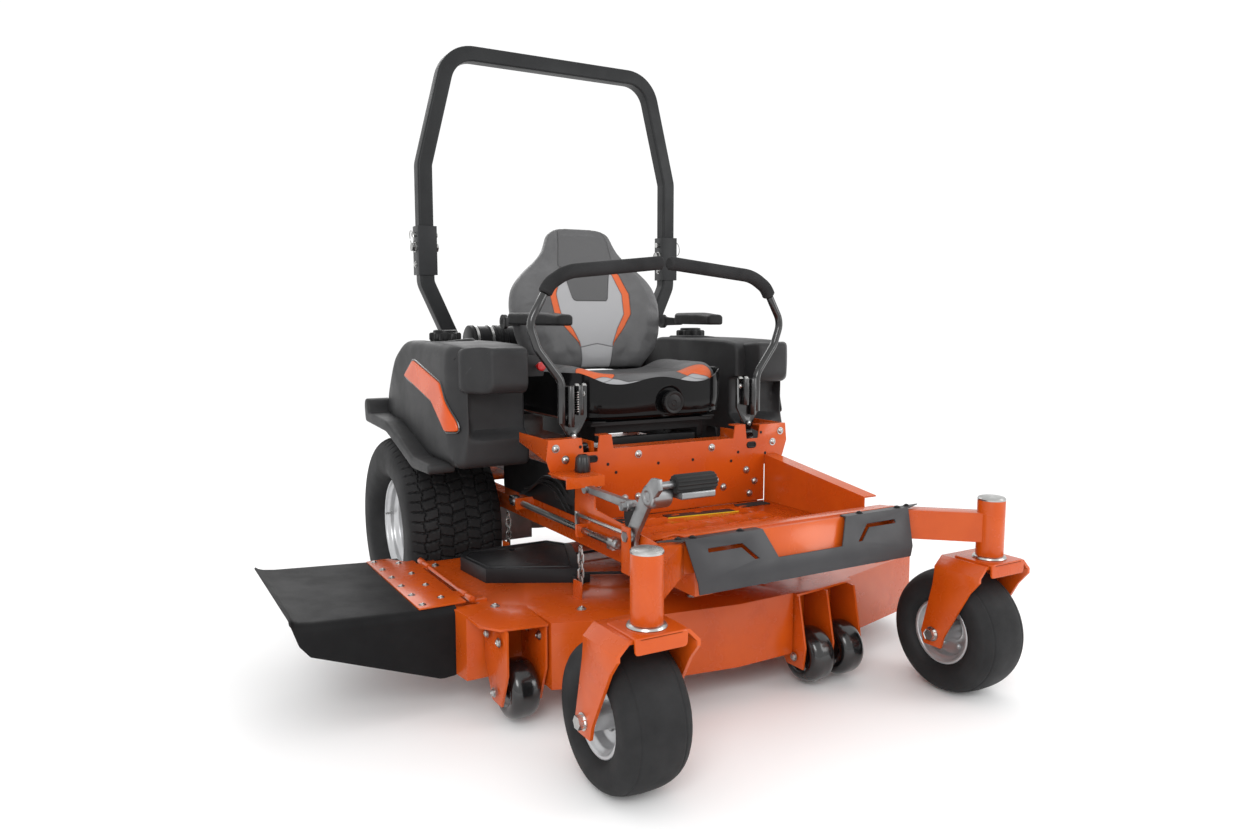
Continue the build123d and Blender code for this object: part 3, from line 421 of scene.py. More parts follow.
def tread(x, round_way):
    """Height lost to the tread: zigzag grooves round the tyre between rows of blocks, and cross
    grooves staggered row by row; round_way counts block pitches."""
    zigzag = 4.5 * (2 * np.abs((round_way / 2) % 1 - 0.5) * 2 - 1)
    cut = np.zeros(np.broadcast(x, round_way).shape)
    for row in ROWS:
        cut = np.maximum(cut, groove(x - row - zigzag * (-1 if row > 0 else 1), 1.8, 1.3))
    lane = np.searchsorted(ROWS, x)
    slant = np.where(lane % 2 == 0, 1, -1) * x / 150
    phase = (round_way + slant + 0.5 * (lane % 2)) % 1 - 0.5
    cross = groove(phase * 33, 2.4, 1.4)
    keep = np.clip((146 - np.abs(x)) / 10, 0, 1)
    return np.maximum(cut * (np.abs(x) < 128), cross) * keep


x, radius = tyre_section(REAR_WIDTH, REAR_RADIUS, REAR_BEAD, 3.4, 4.0, 13.0)
turn = np.arange(PITCHES * 9)[:, None] / 9
tread_zone = (radius > 262)[None, :]
lost = TREAD_DEPTH * tread(x[None, :], turn) * tread_zone
TREAD = np.stack([np.repeat(x[None], len(turn), 0), radius[None] - lost], -1)
for name, s in SIDES:
    build(f"turf_tyre_{name}", [turned(TREAD * [s, 1], REAR_HUBS[name], "x")], RUBBER,
          f"drive_wheel_{name}", "tyre_rubber", f"rear_tyre_{name}")

CASTER_HUBS = {"right": (-517.0, 89.0, 165.0), "left": (517.0, 89.0, 165.0)}
x, radius = tyre_section(164.0, 164.6, 76.0, 2.7, 3.0, 6.0)
lost = 1.6 * groove(np.abs(x) - 52, 1.6, 1.2) + 0.8 * groove(np.abs(x) - 74, 1.2, 1.0)
for name, s in SIDES:
    section = np.stack([x, radius - lost], -1)
    build(f"smooth_tyre_{name}", [turned(section, CASTER_HUBS[name], "x", 120)], RUBBER,
          f"caster_wheel_{name}", "tyre_rubber", f"caster_tyre_{name}")


# ------------------------------------------------------------------ rims
# Pressed steel rims in silver paint: a rolled flange, a stepped barrel and a dished centre, with
# five nuts on the drive wheels and a greased axle hub on the casters.

def eased(points, radius, steps=4, closed=True):
    """Corners eased: each corner P becomes (1-t)^2 A + 2t(1-t) P + t^2 B, with A and B on its two
    sides, radius or half a side away."""
    p = np.asarray(points, float)
    back, ahead = np.roll(p, 1, 0) - p, np.roll(p, -1, 0) - p
    lengths = np.stack([np.linalg.norm(back, axis=1), np.linalg.norm(ahead, axis=1)], 1)
    cut = np.minimum(radius, 0.49 * lengths.min(1))[:, None]
    a, b = p + back / lengths[:, :1] * cut, p + ahead / lengths[:, 1:] * cut
    t = np.linspace(0, 1, steps)[None, :, None]
    curve = (1 - t) ** 2 * a[:, None] + 2 * t * (1 - t) * p[:, None] + t ** 2 * b[:, None]
    if closed:
        return curve.reshape(-1, p.shape[1])
    return np.concatenate([p[:1], curve[1:-1].reshape(-1, p.shape[1]), p[-1:]])


def oblong(left, right, low, high):
    """Rectangle outline from its two limits each way."""
    return [(left, low), (right, low), (right, high), (left, high)]


SILVER = finish("silver_paint", srgb(196, 197, 198), srgb(182, 183, 185), ORANGE_PEEL, 500, 0.00005, 0.3,
                metallic=0.7, edge=srgb(225, 225, 226), coat=0.2)
ZINC = finish("zinc_plate", srgb(190, 190, 188), srgb(160, 160, 158), BRUSHED, 900, 0.00004, 0.24,
              metallic=1.0, edge=srgb(220, 220, 220))


def hexagon(centre, axis, across, low, high):
    """Chamfered hexagon nut: six-sided turned profile rising from low to high with cut corners."""
    reach = across / 2 / math.cos(math.pi / 6)
    profile = [(low, CENTRE), (low, reach), (high - 1.5, reach), (high, reach * 0.86), (high, CENTRE)]
    return turned(profile, centre, axis, 6, closed=False)


def button(centre, axis, radius, out, height):
    """Domed bolt head on a washer: turned profile from the face outwards, out is +1 or -1."""
    p = [(0, CENTRE), (0, 1.35), (0.22, 1.35), (0.25, 1.0), (0.6, 0.97), (0.85, 0.75), (1.0, 0.4),
         (0.8, 0.33), (0.78, CENTRE)]
    profile = np.array(p) * [out * height, radius]
    return turned(profile, centre, axis, 20, closed=False)


REAR_RIM = [(100, 168), (108, 167), (108, 158), (100, 155), (94, 147), (78, 145), (70, 132), (48, 130),
            (40, 120), (30, 116), (22, 96), (20, 60), (24, 44), (24, 20), (17, 20), (17, 40), (13, 60),
            (15, 98), (22, 120), (34, 128), (42, 136), (64, 138), (70, 148), (-80, 148), (-94, 149),
            (-100, 157), (-108, 158), (-108, 167), (-100, 168), (-90, 151.5), (90, 151.5)]
NUT_CIRCLE = 57
for name, s in SIDES:
    hub = REAR_HUBS[name]
    shells = [turned(eased(np.array(REAR_RIM) * [s, 1], 5), hub, "x", 96)]
    hub_cap = [(18, CENTRE), (18, 34), (44, 32), (50, 26), (52, 14), (52, CENTRE)]
    shells.append(turned(np.array(hub_cap) * [s, 1], hub, "x", 40, closed=False))
    shells.append(pin(s * -265, s * 20, 15, hub, "x", 32))
    build(f"dished_rim_{name}", shells, SILVER, f"drive_wheel_{name}", "rim_silver", f"rear_rim_{name}")
    spots = [(hub[0], hub[1] + NUT_CIRCLE * math.cos(a), hub[2] + NUT_CIRCLE * math.sin(a))
             for a in np.arange(5) * 2 * math.pi / 5]
    nuts = [hexagon(spot, "x", 22, s * 19, s * 38) for spot in spots]
    valve = [(s * 88, CENTRE), (s * 88, 4), (s * 110, 3.4), (s * 110, CENTRE)]
    nuts.append(turned(valve, (hub[0], hub[1] + 138, hub[2] + 20), "x", 16, closed=False))
    build(f"wheel_nuts_{name}", nuts, ZINC, f"drive_wheel_{name}", "zinc")

CASTER_RIM = [(64, 86.5), (66.5, 84), (66, 77), (58, 73), (52, 66), (30, 64), (22, 56), (16, 40), (16, 30),
              (84, 24), (84, 11), (-84, 11), (-84, 24), (-16, 30), (-16, 40), (-22, 56), (-30, 64),
              (-52, 66), (-58, 73), (-66, 77), (-66.5, 84), (-64, 86.5), (-56, 76), (56, 76)]
RIVET_CIRCLE = 47
for name, s in SIDES:
    hub = CASTER_HUBS[name]
    shells = [turned(eased(CASTER_RIM, 3), hub, "x", 72)]
    for out in (-1, 1):
        for a in np.arange(6) * math.pi / 3:
            y, z = hub[1] + RIVET_CIRCLE * math.cos(a), hub[2] + RIVET_CIRCLE * math.sin(a)
            shells.append(button((hub[0] + out * 22, y, z), "x", 6, out, 5))
    build(f"caster_disc_{name}", shells, SILVER, f"caster_wheel_{name}", "rim_silver", f"caster_rim_{name}")


# ------------------------------------------------------------------ anti-scalp wheels
# Solid moulded rollers under the deck's front edge, gloss black with rounded shoulders and a
# recessed hub, each on its own through bolt.

BLACK_GLOSS = finish("gloss_black", srgb(20, 20, 21), srgb(15, 15, 16), ORANGE_PEEL, 350, 0.00005, 0.2,
                     edge=srgb(40, 40, 40), coat=0.5, coat_rough=0.08)
SCALP_PLACES = {"right": (-592.0, 485.0, 88.0), "centre": (184.0, 300.0, 88.0), "left": (290.0, 300.0, 88.0)}
SCALP_HALF = [(38, 14), (32, 18), (30, 34), (36, 42), (38, 56), (30, 68), (16, 73.2)]
SCALP = SCALP_HALF + [(0, 73.4)] + [(-x, radius) for x, radius in SCALP_HALF[::-1]] + [(-38, 8.2), (38, 8.2)]
for name, spot in SCALP_PLACES.items():
    build(f"scalp_roller_{name}", [turned(eased(SCALP, 7), spot, "x", 72)], BLACK_GLOSS,
          f"anti_scalp_wheel_{name}", "scalp_rubber", f"anti_scalp_wheel_{name}")


# ------------------------------------------------------------------ fuel tanks and fenders
# Rotation-moulded tanks either side of the seat, which are also the rear fenders: dark grey
# plastic with large soft corners, a hollow under each console pod, a raised rib at the filler and
# an orange insert let into each outer face.

def inset(outline, amount):
    """Closed outline moved inwards by amount along its corner normals (mitred, at most twice)."""
    ahead = np.roll(outline, -1, 0) - outline
    ahead /= np.linalg.norm(ahead, axis=1)[:, None] + 1e-9
    normal = np.stack([-ahead[:, 1], ahead[:, 0]], 1)
    both = normal + np.roll(normal, 1, 0)
    both /= np.maximum((both ** 2).sum(1) / 2, 0.5)[:, None]
    return outline + amount * both


def turned_left(outline):
    """The same outline running anticlockwise, judged by the sign of its shoelace area."""
    x, y = outline.T
    area = (x * np.roll(y, -1) - y * np.roll(x, -1)).sum()
    return outline if area > 0 else outline[::-1]


def evened(outline, spacing):
    """Closed outline resampled to even steps along its length."""
    ring = np.concatenate([outline, outline[:1]])
    along = np.concatenate([[0], np.cumsum(np.linalg.norm(np.diff(ring, axis=0), axis=1))])
    even = np.linspace(0, along[-1], max(int(along[-1] / spacing), 8) + 1)[:-1]
    return np.stack([np.interp(even, along, ring[:, k]) for k in range(ring.shape[1])], 1)


def rounded(outline, radius, spacing, steps=4):
    """Closed outline with its corners eased and its points evened out."""
    return evened(eased(outline, radius, steps), spacing)


def slab(outline, axis, low, high, edge_low=2.0, edge_high=2.0, crown=0.0, shrink=0, steps=5, across=0):
    """Outline carried from low to high along an axis with quarter-round edges, inset
    r(1 - sin a) at height r(1 - cos a); across adds rows between them, and shrink adds rings drawn
    towards the middle to a crown."""
    outline = turned_left(np.asarray(outline, float))
    quarter = np.linspace(0, math.pi / 2, steps)
    way = 1 if high > low else -1
    rise, cut = 1 - np.cos(quarter), 1 - np.sin(quarter)
    rows = [(low + way * edge_low * up, edge_low * back) for up, back in zip(rise, cut)]
    middle = np.linspace(low + way * edge_low, high - way * edge_high, across + 2)[1:-1]
    rows += [(height, 0.0) for height in middle]
    rows += [(high - way * edge_high * up, edge_high * back) for up, back in zip(rise[::-1], cut[::-1])]
    rings = [np.column_stack([inset(outline, cut), np.full(len(outline), height)]) for height, cut in rows]
    if shrink:
        rim, middle = rings[-1], rings[-1].mean(0)
        for t in np.linspace(0, 1, shrink + 1)[1:]:
            ring = middle + (rim - middle) * max(1 - t, 0.004)
            ring[:, 2] = high + way * crown * (1 - (1 - t) ** 2)
            rings.append(ring)
    grid = np.array(rings)
    main, first, second = AXES[axis]
    turned_grid = np.zeros_like(grid)
    turned_grid[..., main] = grid[..., 2]
    turned_grid[..., first] = grid[..., 0]
    turned_grid[..., second] = grid[..., 1]
    return skin(turned_grid, (False, True), caps=True)


TANK_GREY = finish("tank_plastic", srgb(46, 46, 47), srgb(40, 40, 41), MOULDED_GRAIN, 1100, 0.00012, 0.46,
                   spread=0.1, edge=srgb(78, 78, 78), edge_amount=0.3, specular=0.24)
TANK_SIDE = [(884, 566), (884, 690), (884, 800), (884, 902), (940, 914), (1100, 917.5), (1370, 917.5),
             (1460, 875), (1600, 750), (1636, 662), (1630, 642), (1387, 636), (1250, 596), (1113, 564)]
FILLER = {"right": (-473.0, 1302.0), "left": (473.0, 1302.0)}


def ramp(value, start, end):
    """Smooth step from 0 at start to 1 at end: 3t^2 - 2t^3."""
    t = np.clip((value - start) / (end - start), 0, 1)
    return t * t * (3 - 2 * t)


def drawn_in(x, y, z):
    """Outer corner of the tank's front: x less 26 * (1 - ramp over y) * ramp over z."""
    return x - 26 * (1 - ramp(y, 884, 960)) * ramp(x, 540, 600) * ramp(z, 560, 700)


def tank(s):
    """Tank body: side outline carried across with soft round edges and a crowned outer face, then
    pressed in by the hollow under the pod and by the well round the cap."""
    outline = rounded(TANK_SIDE, 30, 7.0, 6)
    points, faces = slab(outline, "x", s * 369, s * 596, 12, 34, crown=4, shrink=26, steps=8, across=24)
    x, y, z = np.abs(points[:, 0]), points[:, 1], points[:, 2]
    hollow = ramp(z, 642, 676) * (1 - ramp(z, 790, 800)) * (1 - ramp(x, 520 + 0.25 * (z - 640), 566))
    y = y + 34 * hollow * (1 - ramp(y, 890, 980))
    x = drawn_in(x, y, z)
    well = np.hypot(x - 473, y - 1302)
    z = z - 9 * ramp(z, 890, 912) * (1 - ramp(well, 52, 74))
    tail = ramp(y, 1440, 1640)
    x = x - 18 * tail * ramp(x, 520, 600)
    return np.stack([s * x, y, z], 1), faces


def rib(s):
    """Raised rib that sweeps from the filler well forwards to the pod: half-round section on a
    curved run over the tank's top."""
    run = [(s * 398, 1318, 914), (s * 400, 1240, 916), (s * 440, 1190, 917), (s * 560, 1175, 905)]
    return sweep(eased(run, 60, 10, closed=False), disc(9, 16), (0, 0, 1))


def disc(radius, count):
    """Circle as (side, up) pairs."""
    turn = np.arange(count) * 2 * math.pi / count
    return np.stack([radius * np.cos(turn), radius * np.sin(turn)], 1)


def sweep(path, section, up, wrap=False):
    """Section carried along a path: side = tangent x up, so point = path + s * side + u * (side x
    tangent); the ends are closed unless the path wraps."""
    path = np.asarray(path, float)
    if wrap:
        tangent = np.roll(path, -1, 0) - np.roll(path, 1, 0)
    else:
        tangent = np.gradient(path, axis=0)
    tangent /= np.linalg.norm(tangent, axis=1)[:, None]
    side = np.cross(tangent, np.array(up, float))
    side /= np.linalg.norm(side, axis=1)[:, None]
    top = np.cross(side, tangent)
    section = np.asarray(section, float)
    if section.ndim == 2:
        section = np.repeat(section[None], len(path), 0)
    grid = path[:, None] + section[..., :1] * side[:, None] + section[..., 1:] * top[:, None]
    return skin(grid, (wrap, True), caps=not wrap)


LIP_OUTER = [(955, 549), (1113, 545), (1250, 586), (1387, 624), (1632, 634), (1643, 690), (1632, 716),
             (1602, 711), (1592, 668), (1387, 660), (1240, 622), (1113, 580), (955, 578)]
POD_INNER = 405
POD_SIDE = [(915, 786), (915, 904), (842, 911), (808, 907), (804, 800), (826, 780), (870, 782)]
INSERT_SIDE = [(1330, 808), (1239, 860), (990, 804), (912, 699), (902, 674), (956, 670), (1048, 743)]
INSERT_ORANGE = finish("insert_orange", srgb(210, 82, 14), srgb(200, 74, 11), ORANGE_PEEL, 300, 0.00004, 0.25,
                       edge=srgb(230, 112, 46), coat=0.15, coat_rough=0.08, specular=0.3)
INSERT_GAP = 3.5
TANK_SKIN = 597.5
STANDS_FOR = {-1: ("fuel_tanks", "fenders", "side_consoles", "tank_inserts"), 1: ()}
for name, s in SIDES:
    stands_for = STANDS_FOR[s]
    build(f"tank_{name}", [tank(s), rib(s)], TANK_GREY, "chassis", "dark_plastic", *stands_for[:1])
    lip = rounded(LIP_OUTER, 14, 8.0, 5)
    build(f"fender_{name}", [slab(lip, "x", s * 572, s * 651, 3, 9)], TANK_GREY, "chassis",
          "dark_plastic", *stands_for[1:2])
    pod = rounded(POD_SIDE, 16, 5.0, 6)
    points, faces = slab(pod, "x", s * POD_INNER, s * 577, 12, 16, crown=2, shrink=8, steps=6, across=8)
    narrow = 0.67 + 0.33 * ramp(points[:, 1], 815, 885)
    points[:, 0] = s * (POD_INNER + (np.abs(points[:, 0]) - POD_INNER) * narrow)
    build(f"console_pod_{name}", [(points, faces)], TANK_GREY, "chassis", "dark_plastic", *stands_for[2:3])
    strip = rounded(INSERT_SIDE, 12, 5.0, 5)
    points, faces = slab(strip, "x", s * 588, s * 604, 1, 4, crown=0.6, shrink=8)
    points[:, 0] = s * drawn_in(np.abs(points[:, 0]), points[:, 1], points[:, 2])
    build(f"tank_insert_{name}", [(points, faces)], INSERT_ORANGE, "chassis", "insert_plastic",
          *stands_for[3:])
    # Painted shadow: a black bead round each insert stands for the dark gap between insert and tank.
    gap = inset(turned_left(strip), -INSERT_GAP)
    flush = s * drawn_in(np.full(len(gap), TANK_SKIN), *gap.T)
    gap_shadow = sweep(np.column_stack([flush, gap]), disc(3.2, 8), (s, 0, 0), wrap=True)
    build(f"insert_gap_shadow_{name}", [gap_shadow], BLACK_GLOSS, "chassis", "dark_plastic")


# ------------------------------------------------------------------ fuel caps
# Ratchet caps, moulded black with ten finger lobes, and a raised bridge over a dished centre.

CAP_BLACK = finish("cap_black", srgb(22, 22, 23), srgb(17, 17, 18), MOULDED_GRAIN, 900, 0.00006, 0.32,
                   edge=srgb(52, 52, 52), specular=0.22)
for name, s in SIDES:
    x, y = FILLER[name]
    turn = np.arange(180)[:, None] * 2 * math.pi / 180
    levels = np.array([(910, 30), (910, 46), (919, 48), (921, 49), (938, 49), (942, 46), (943, 40), (943, 38),
                       (949, 37), (950.5, 34), (950, 12), (948, 10), (948, CENTRE)])
    lobes = 3.2 * np.cos(10 * turn) * np.isin(np.arange(13), (3, 4, 5))[None, :]
    profile = np.stack([np.repeat(levels[None, :, 0], 180, 0), levels[None, :, 1] + lobes], -1)
    grip = turned(profile, (x, y, 0), "z", closed=False)
    bridge = slab(eased(oblong(x - 34, x + 34, y - 7, y + 7), 6), "z", 948, 951, 1, 2)
    build(f"ribbed_cap_{name}", [grip, bridge], CAP_BLACK, f"fuel_cap_{name}", "black_plastic",
          f"fuel_cap_{name}")


# ------------------------------------------------------------------ discharge chute
# Flexible black polymer chute: one sheet whose front edge folds down in a soft radius to a flap
# that rises outwards, with a rolled lip along its outer edge, riveted to a hinged steel plate.

CHUTE_BLACK = finish("chute_polymer", srgb(25, 25, 26), srgb(20, 20, 21), MOULDED_GRAIN, 1300, 0.00008, 0.5,
                     edge=srgb(54, 54, 54), edge_amount=0.4, specular=0.12)
FOLD = 24.0
FRONT_Y = 622.0
across = np.concatenate([np.linspace(-692, -1040, 30), np.linspace(-1046, -1091, 16)])
crest_z = np.interp(-across, [690, 785, 1040, 1070, 1082, 1090], [270, 270.5, 285, 289, 293, 299])
foot_z = np.interp(-across, [690, 700, 735, 1050, 1074, 1091], [96, 93, 90, 207, 236, 286])
back_y = np.linspace(1149, FRONT_Y + FOLD, 40)
bend = np.linspace(0, math.pi / 2, 8)[1:]
fall = np.linspace(0, 1, 26)[1:]
top_run = np.stack([np.repeat(across[:, None], 40, 1), np.repeat(back_y[None], 46, 0),
                    np.repeat(crest_z[:, None], 40, 1)], -1)
tight = np.minimum(FOLD, (crest_z - foot_z) * 0.8)[:, None]
bend_y = np.repeat((FRONT_Y + FOLD - FOLD * np.sin(bend))[None], 46, 0)
bend_run = np.stack([np.repeat(across[:, None], 7, 1), bend_y,
                     crest_z[:, None] - tight * (1 - np.cos(bend)[None])], -1)
start_z = (crest_z - tight[:, 0])[:, None]
drop = np.minimum(foot_z, crest_z - tight[:, 0] - 1)[:, None] - start_z
fall_run = np.stack([np.repeat(across[:, None], 25, 1), np.full((46, 25), FRONT_Y),
                     start_z + drop * fall[None]], -1)
chute_grid = np.concatenate([top_run, bend_run, fall_run], 1)
chute = build("folded_chute", [skin(chute_grid)], CHUTE_BLACK, "chute", "chute_rubber", "discharge_chute")
wall = chute.modifiers.new("wall", "SOLIDIFY")
wall.thickness = 0.0045
wall.offset = -1.0
edge = chute.modifiers.new("edge", "BEVEL")
edge.width = 0.0012
edge.segments = 2
edge.limit_method = "ANGLE"
dress("chute_plate", ORANGE, 1.2)
rivets = [button((-708, y, 274.6), "z", 7, 1, 5) for y in np.linspace(700, 1075, 4)]
rivets += [button((-768, y, 274.6), "z", 7, 1, 5) for y in np.linspace(665, 1120, 6)]
build("chute_rivets", rivets, ZINC, "chute", "zinc")


# ------------------------------------------------------------------ cutting deck
# Fabricated steel deck in orange coat: flat top, deep skirts with a turned bottom edge, wheel
# brackets welded on in pairs, and belt covers clipped over the pulleys at both ends.

dress("deck_shell", ORANGE, 3.0)
dress("deck_brackets", ORANGE, 1.5)
dress("deck_hardware", ZINC, 0.4)
BELT_BLACK = finish("belt_rubber", srgb(28, 28, 28), srgb(20, 20, 20), MOULDED_GRAIN, 1500, 0.00008, 0.7)
dress("deck_belt", BELT_BLACK, 0.5)
COVER_BLACK = finish("cover_black", srgb(32, 32, 34), srgb(26, 26, 28), MOULDED_GRAIN, 1100, 0.00007, 0.36,
                     edge=srgb(66, 66, 66), specular=0.2)
dress("belt_covers", COVER_BLACK, 4.0)
BLADE_STEEL = finish("blade_steel", srgb(140, 140, 142), srgb(96, 92, 88), BRUSHED, 500, 0.0001, 0.35,
                     metallic=1.0)
for name in ("right", "centre", "left"):
    dress(f"blade_{name}", BLADE_STEEL, 0.8)
COVER_RIDGE = [(330, 706), (530, 812), (546, 950), (516, 992), (270, 992), (236, 934)]
COVER_TOP = 302.0
knobs = []
for s in (-1, 1):
    wing = eased(oblong(s * 318 - 26, s * 318 + 26, 662, 671), 4)
    knobs.append(slab(wing, "z", 262.5, 288, 2, 3))
    stud = [(262, 9), (292, 9), (295, 6), (296, CENTRE)]
    knobs.append(turned(stud, (s * 318, 667, 0), "z", 24, closed=False))
    knobs.append(turned([(300.5, 26), (303, 24), (303, 20), (300.5, 18)], (s * 400, 800, 0), "z", 48))
    ridge = rounded([(s * x, y) for x, y in COVER_RIDGE], 10, 8)
    ridge = np.column_stack([ridge, np.full(len(ridge), COVER_TOP)])
    knobs.append(sweep(ridge, disc(2.6, 8), (0, 0, 1), wrap=True))
build("belt_cover_knobs", knobs, COVER_BLACK, "deck", "cover_paint")
TOP_BOLTS = [(-600, 600), (-420, 470), (-610, 1040), (420, 470), (610, 600), (690, 980), (80, 760),
             (-80, 760), (120, 420), (-120, 420), (0, 1040), (300, 1050), (-300, 1050)]
BRACKET_BOLTS = [(-547, 450, 224), (-547, 520, 224), (-652, 485, 88), (-541, 485, 88), (-652, 450, 224),
                 (-652, 525, 224), (132, 300, 88), (340, 300, 88), (132, 330, 210), (342, 345, 210)]
FACING_RIGHT = (-652, 132, -547)
SPINDLES = [(-455, 828), (0, 612), (455, 828)]
SPINDLE_BOLT_CIRCLE = 49
bolts = [button((x, y, 262), "z", 9, 1, 7) for x, y in TOP_BOLTS]
bolts += [button(spot, "x", 9, -1 if spot[0] in FACING_RIGHT else 1, 8) for spot in BRACKET_BOLTS]
for x, y in SPINDLES:
    for a in np.arange(6) * math.pi / 3:
        spot = (x + SPINDLE_BOLT_CIRCLE * math.cos(a), y + SPINDLE_BOLT_CIRCLE * math.sin(a), 0)
        bolts.append(hexagon(spot, "z", 14, 269, 276))
build("deck_bolts", bolts, ZINC, "deck", "zinc")


# ------------------------------------------------------------------ front cover
# Bolt-on front cover of dark grey sheet over the crossmember, cut with two angled slots and a
# centre window that let the orange steel show, with black screws through its top flange.

COVER_GREY = finish("cover_grey", srgb(56, 56, 58), srgb(50, 50, 52), ORANGE_PEEL, 700, 0.00006, 0.36,
                    edge=srgb(92, 92, 94), specular=0.26)
dress("front_cover", COVER_GREY, 1.8)
screws = [button((x, 130, 506), "z", 7, 1, 5) for x in (-318, -186, 186, 318)]
screws += [button((s * 355, 133, 506), "z", 6, 1, 5) for s in (-1, 1)]
build("cover_screws", screws, CAP_BLACK, "chassis", "black_plastic")


# ------------------------------------------------------------------ caster hardware
# Each caster turns in a welded tube closed by a pressed cap, its fork's crown is a saddle plate
# with a front apron, and its wheel runs on a through bolt with nuts and washers outside the legs.

PIVOT_X = 517
CAP = [(529, CENTRE), (529, 34.6), (533, 34.6), (536.5, 32), (538.5, 24), (539, CENTRE)]
PIVOT_RING = [(378, 26), (378, 40), (380, 42), (384, 40), (386, 36), (386, 26)]
caps = [turned(CAP, (s * PIVOT_X, 0, 0), "z", 64, closed=False) for s in (-1, 1)]
build("caster_caps", caps, ZINC, "chassis", "zinc")
for name, s in SIDES:
    x, y, z = CASTER_HUBS[name]
    shells = [hexagon((x, y, z), "x", 27, out * 98, out * 113) for out in (-1, 1)]
    shells += [pin(out * 98, out * 101, 19, (x, y, z), "x", 32) for out in (-1, 1)]
    shells.append(turned(PIVOT_RING, (s * PIVOT_X, 0, 0), "z", 48))
    build(f"wheel_bolt_{name}", shells, ZINC, f"caster_{name}", "zinc")
    saddle = slab(rounded(oblong(x - 62, x + 62, -58, 60), 8, 6), "z", 373.5, 378.5, 0.6, 2)
    apron = rounded([(344, x - 60), (344, x + 60), (377, x + 62), (377, x - 62)], 6, 6)
    build(f"fork_crown_{name}", [saddle, slab(apron, "y", -52, -58, 0.6, 1.5)], ORANGE, f"caster_{name}",
          "orange_paint")


# ------------------------------------------------------------------ console panel hardware
# Round-headed zinc bolts, oval rubber grommets and plugged holes across the folded panel under
# the seat, with non-slip pads and the yellow-edged step plate on the floor in front of it.

PANEL_FACE = 680.0
spots = [(-127, 606), (127, 606), (-127, 484), (127, 484), (258, 528), (290, 491), (271, 455), (172, 483),
         (-172, 483), (-258, 528), (-290, 491), (-271, 455), (-387, 640), (-358, 608), (388, 640), (358, 608)]
build("panel_bolts", [button((x, PANEL_FACE, z), "y", 8.5, -1, 7) for x, z in spots], ZINC, "chassis", "zinc",
      "frame_bolts")
HOLE_PLUG = [(0, CENTRE), (0, 4.2), (-0.6, 4.6), (-0.8, 3.6), (-0.3, CENTRE)]
grommets, holes = [], []
for s in (-1, 1):
    oval = rounded(oblong(s * 276 - 15, s * 276 + 15, 597, 611), 7, 3, 8)
    ring = np.column_stack([oval[:, 0], np.full(len(oval), PANEL_FACE - 0.5), oval[:, 1]])
    grommets.append(sweep(ring, disc(3.2, 8), (0, 1, 0), wrap=True))
    grommets.append(slab(oval[:, ::-1], "y", PANEL_FACE + 1, PANEL_FACE - 1.5, 0.3, 0.5))
    for x, z in ((60, 575), (200, 560), (330, 575), (40, 505), (226, 585), (312, 640)):
        holes.append(turned(HOLE_PLUG, (s * x, PANEL_FACE, z), "y", 16, closed=False))
build("panel_grommets", grommets + holes, CAP_BLACK, "chassis", "black_plastic")
GRIP_TAPE = finish("grip_tape", srgb(34, 34, 34), srgb(22, 22, 22), MOULDED_GRAIN, 1400, 0.0003, 0.85)
FLOOR_TOP = 430.2
mats = [rounded(oblong(s * 190, s * 300, 610, 655), 6, 8) for s in (-1, 1)]
pads = [slab(mat, "z", FLOOR_TOP, 432, 0.2, 0.5) for mat in mats]
build("foot_well_strips", pads, GRIP_TAPE, "chassis", "black_plastic")
YELLOW = finish("yellow_line", srgb(214, 180, 20), srgb(200, 166, 16), ORANGE_PEEL, 500, 0.00003, 0.45)
line = rounded([(-80, 596), (150, 570), (150, 574), (-80, 600)], 1, 6)
plate = rounded([(-72, 604), (144, 580), (144, 612), (-72, 640)], 3, 8)
build("step_plate", [slab(plate, "z", FLOOR_TOP, 432.4, 0.2, 0.5)], SATIN_BLACK, "chassis", "black_plastic")
build("step_line", [slab(line, "z", FLOOR_TOP, 432.8, 0.2, 0.4)], YELLOW, "chassis", "black_plastic")


# ------------------------------------------------------------------ roll bar fittings
# Hinge bolts on washers and spring lock pins with their wire rings, on both sides of each post
# where the upper hoop folds back.

dress("rops_posts", SATIN_BLACK, 1.2)
dress("rops_hoop", SATIN_BLACK, 1.2)
POST_Y = 1480
HINGE_Z = 1221
for name, s in SIDES:
    shells = []
    for x, out in ((s * 506.5, s), (s * 443.5, -s)):
        lock_pin = [(0, CENTRE), (0, 9), (out * 10, 9), (out * 12, 6), (out * 12, CENTRE)]
        shells.append(hexagon((x, POST_Y, HINGE_Z), "x", 26, 0, out * 13))
        shells.append(pin(0, out * 2.5, 17, (x, POST_Y, HINGE_Z), "x", 32))
        shells.append(turned(lock_pin, (x, POST_Y, 1262), "x", 24, closed=False))
        shells.append(button((x, POST_Y, 1165), "x", 8, out, 7))
    turn = np.arange(40) * 2 * math.pi / 40
    loop = np.column_stack([s * 521 + 3 * np.cos(turn), POST_Y - 8 - 20 * np.sin(turn),
                            1250 - 24 * np.cos(turn)])
    shells.append(sweep(loop, disc(1.5, 8), (1, 0, 0), wrap=True))
    build(f"hinge_pins_{name}", shells, ZINC, "chassis", "zinc")


# ------------------------------------------------------------------ engine
# Air-cooled twin under and behind the seat: finned barrels, a moulded blower housing with a
# slotted debris screen, a canister air cleaner with a corrugated intake hose, and a drum muffler.

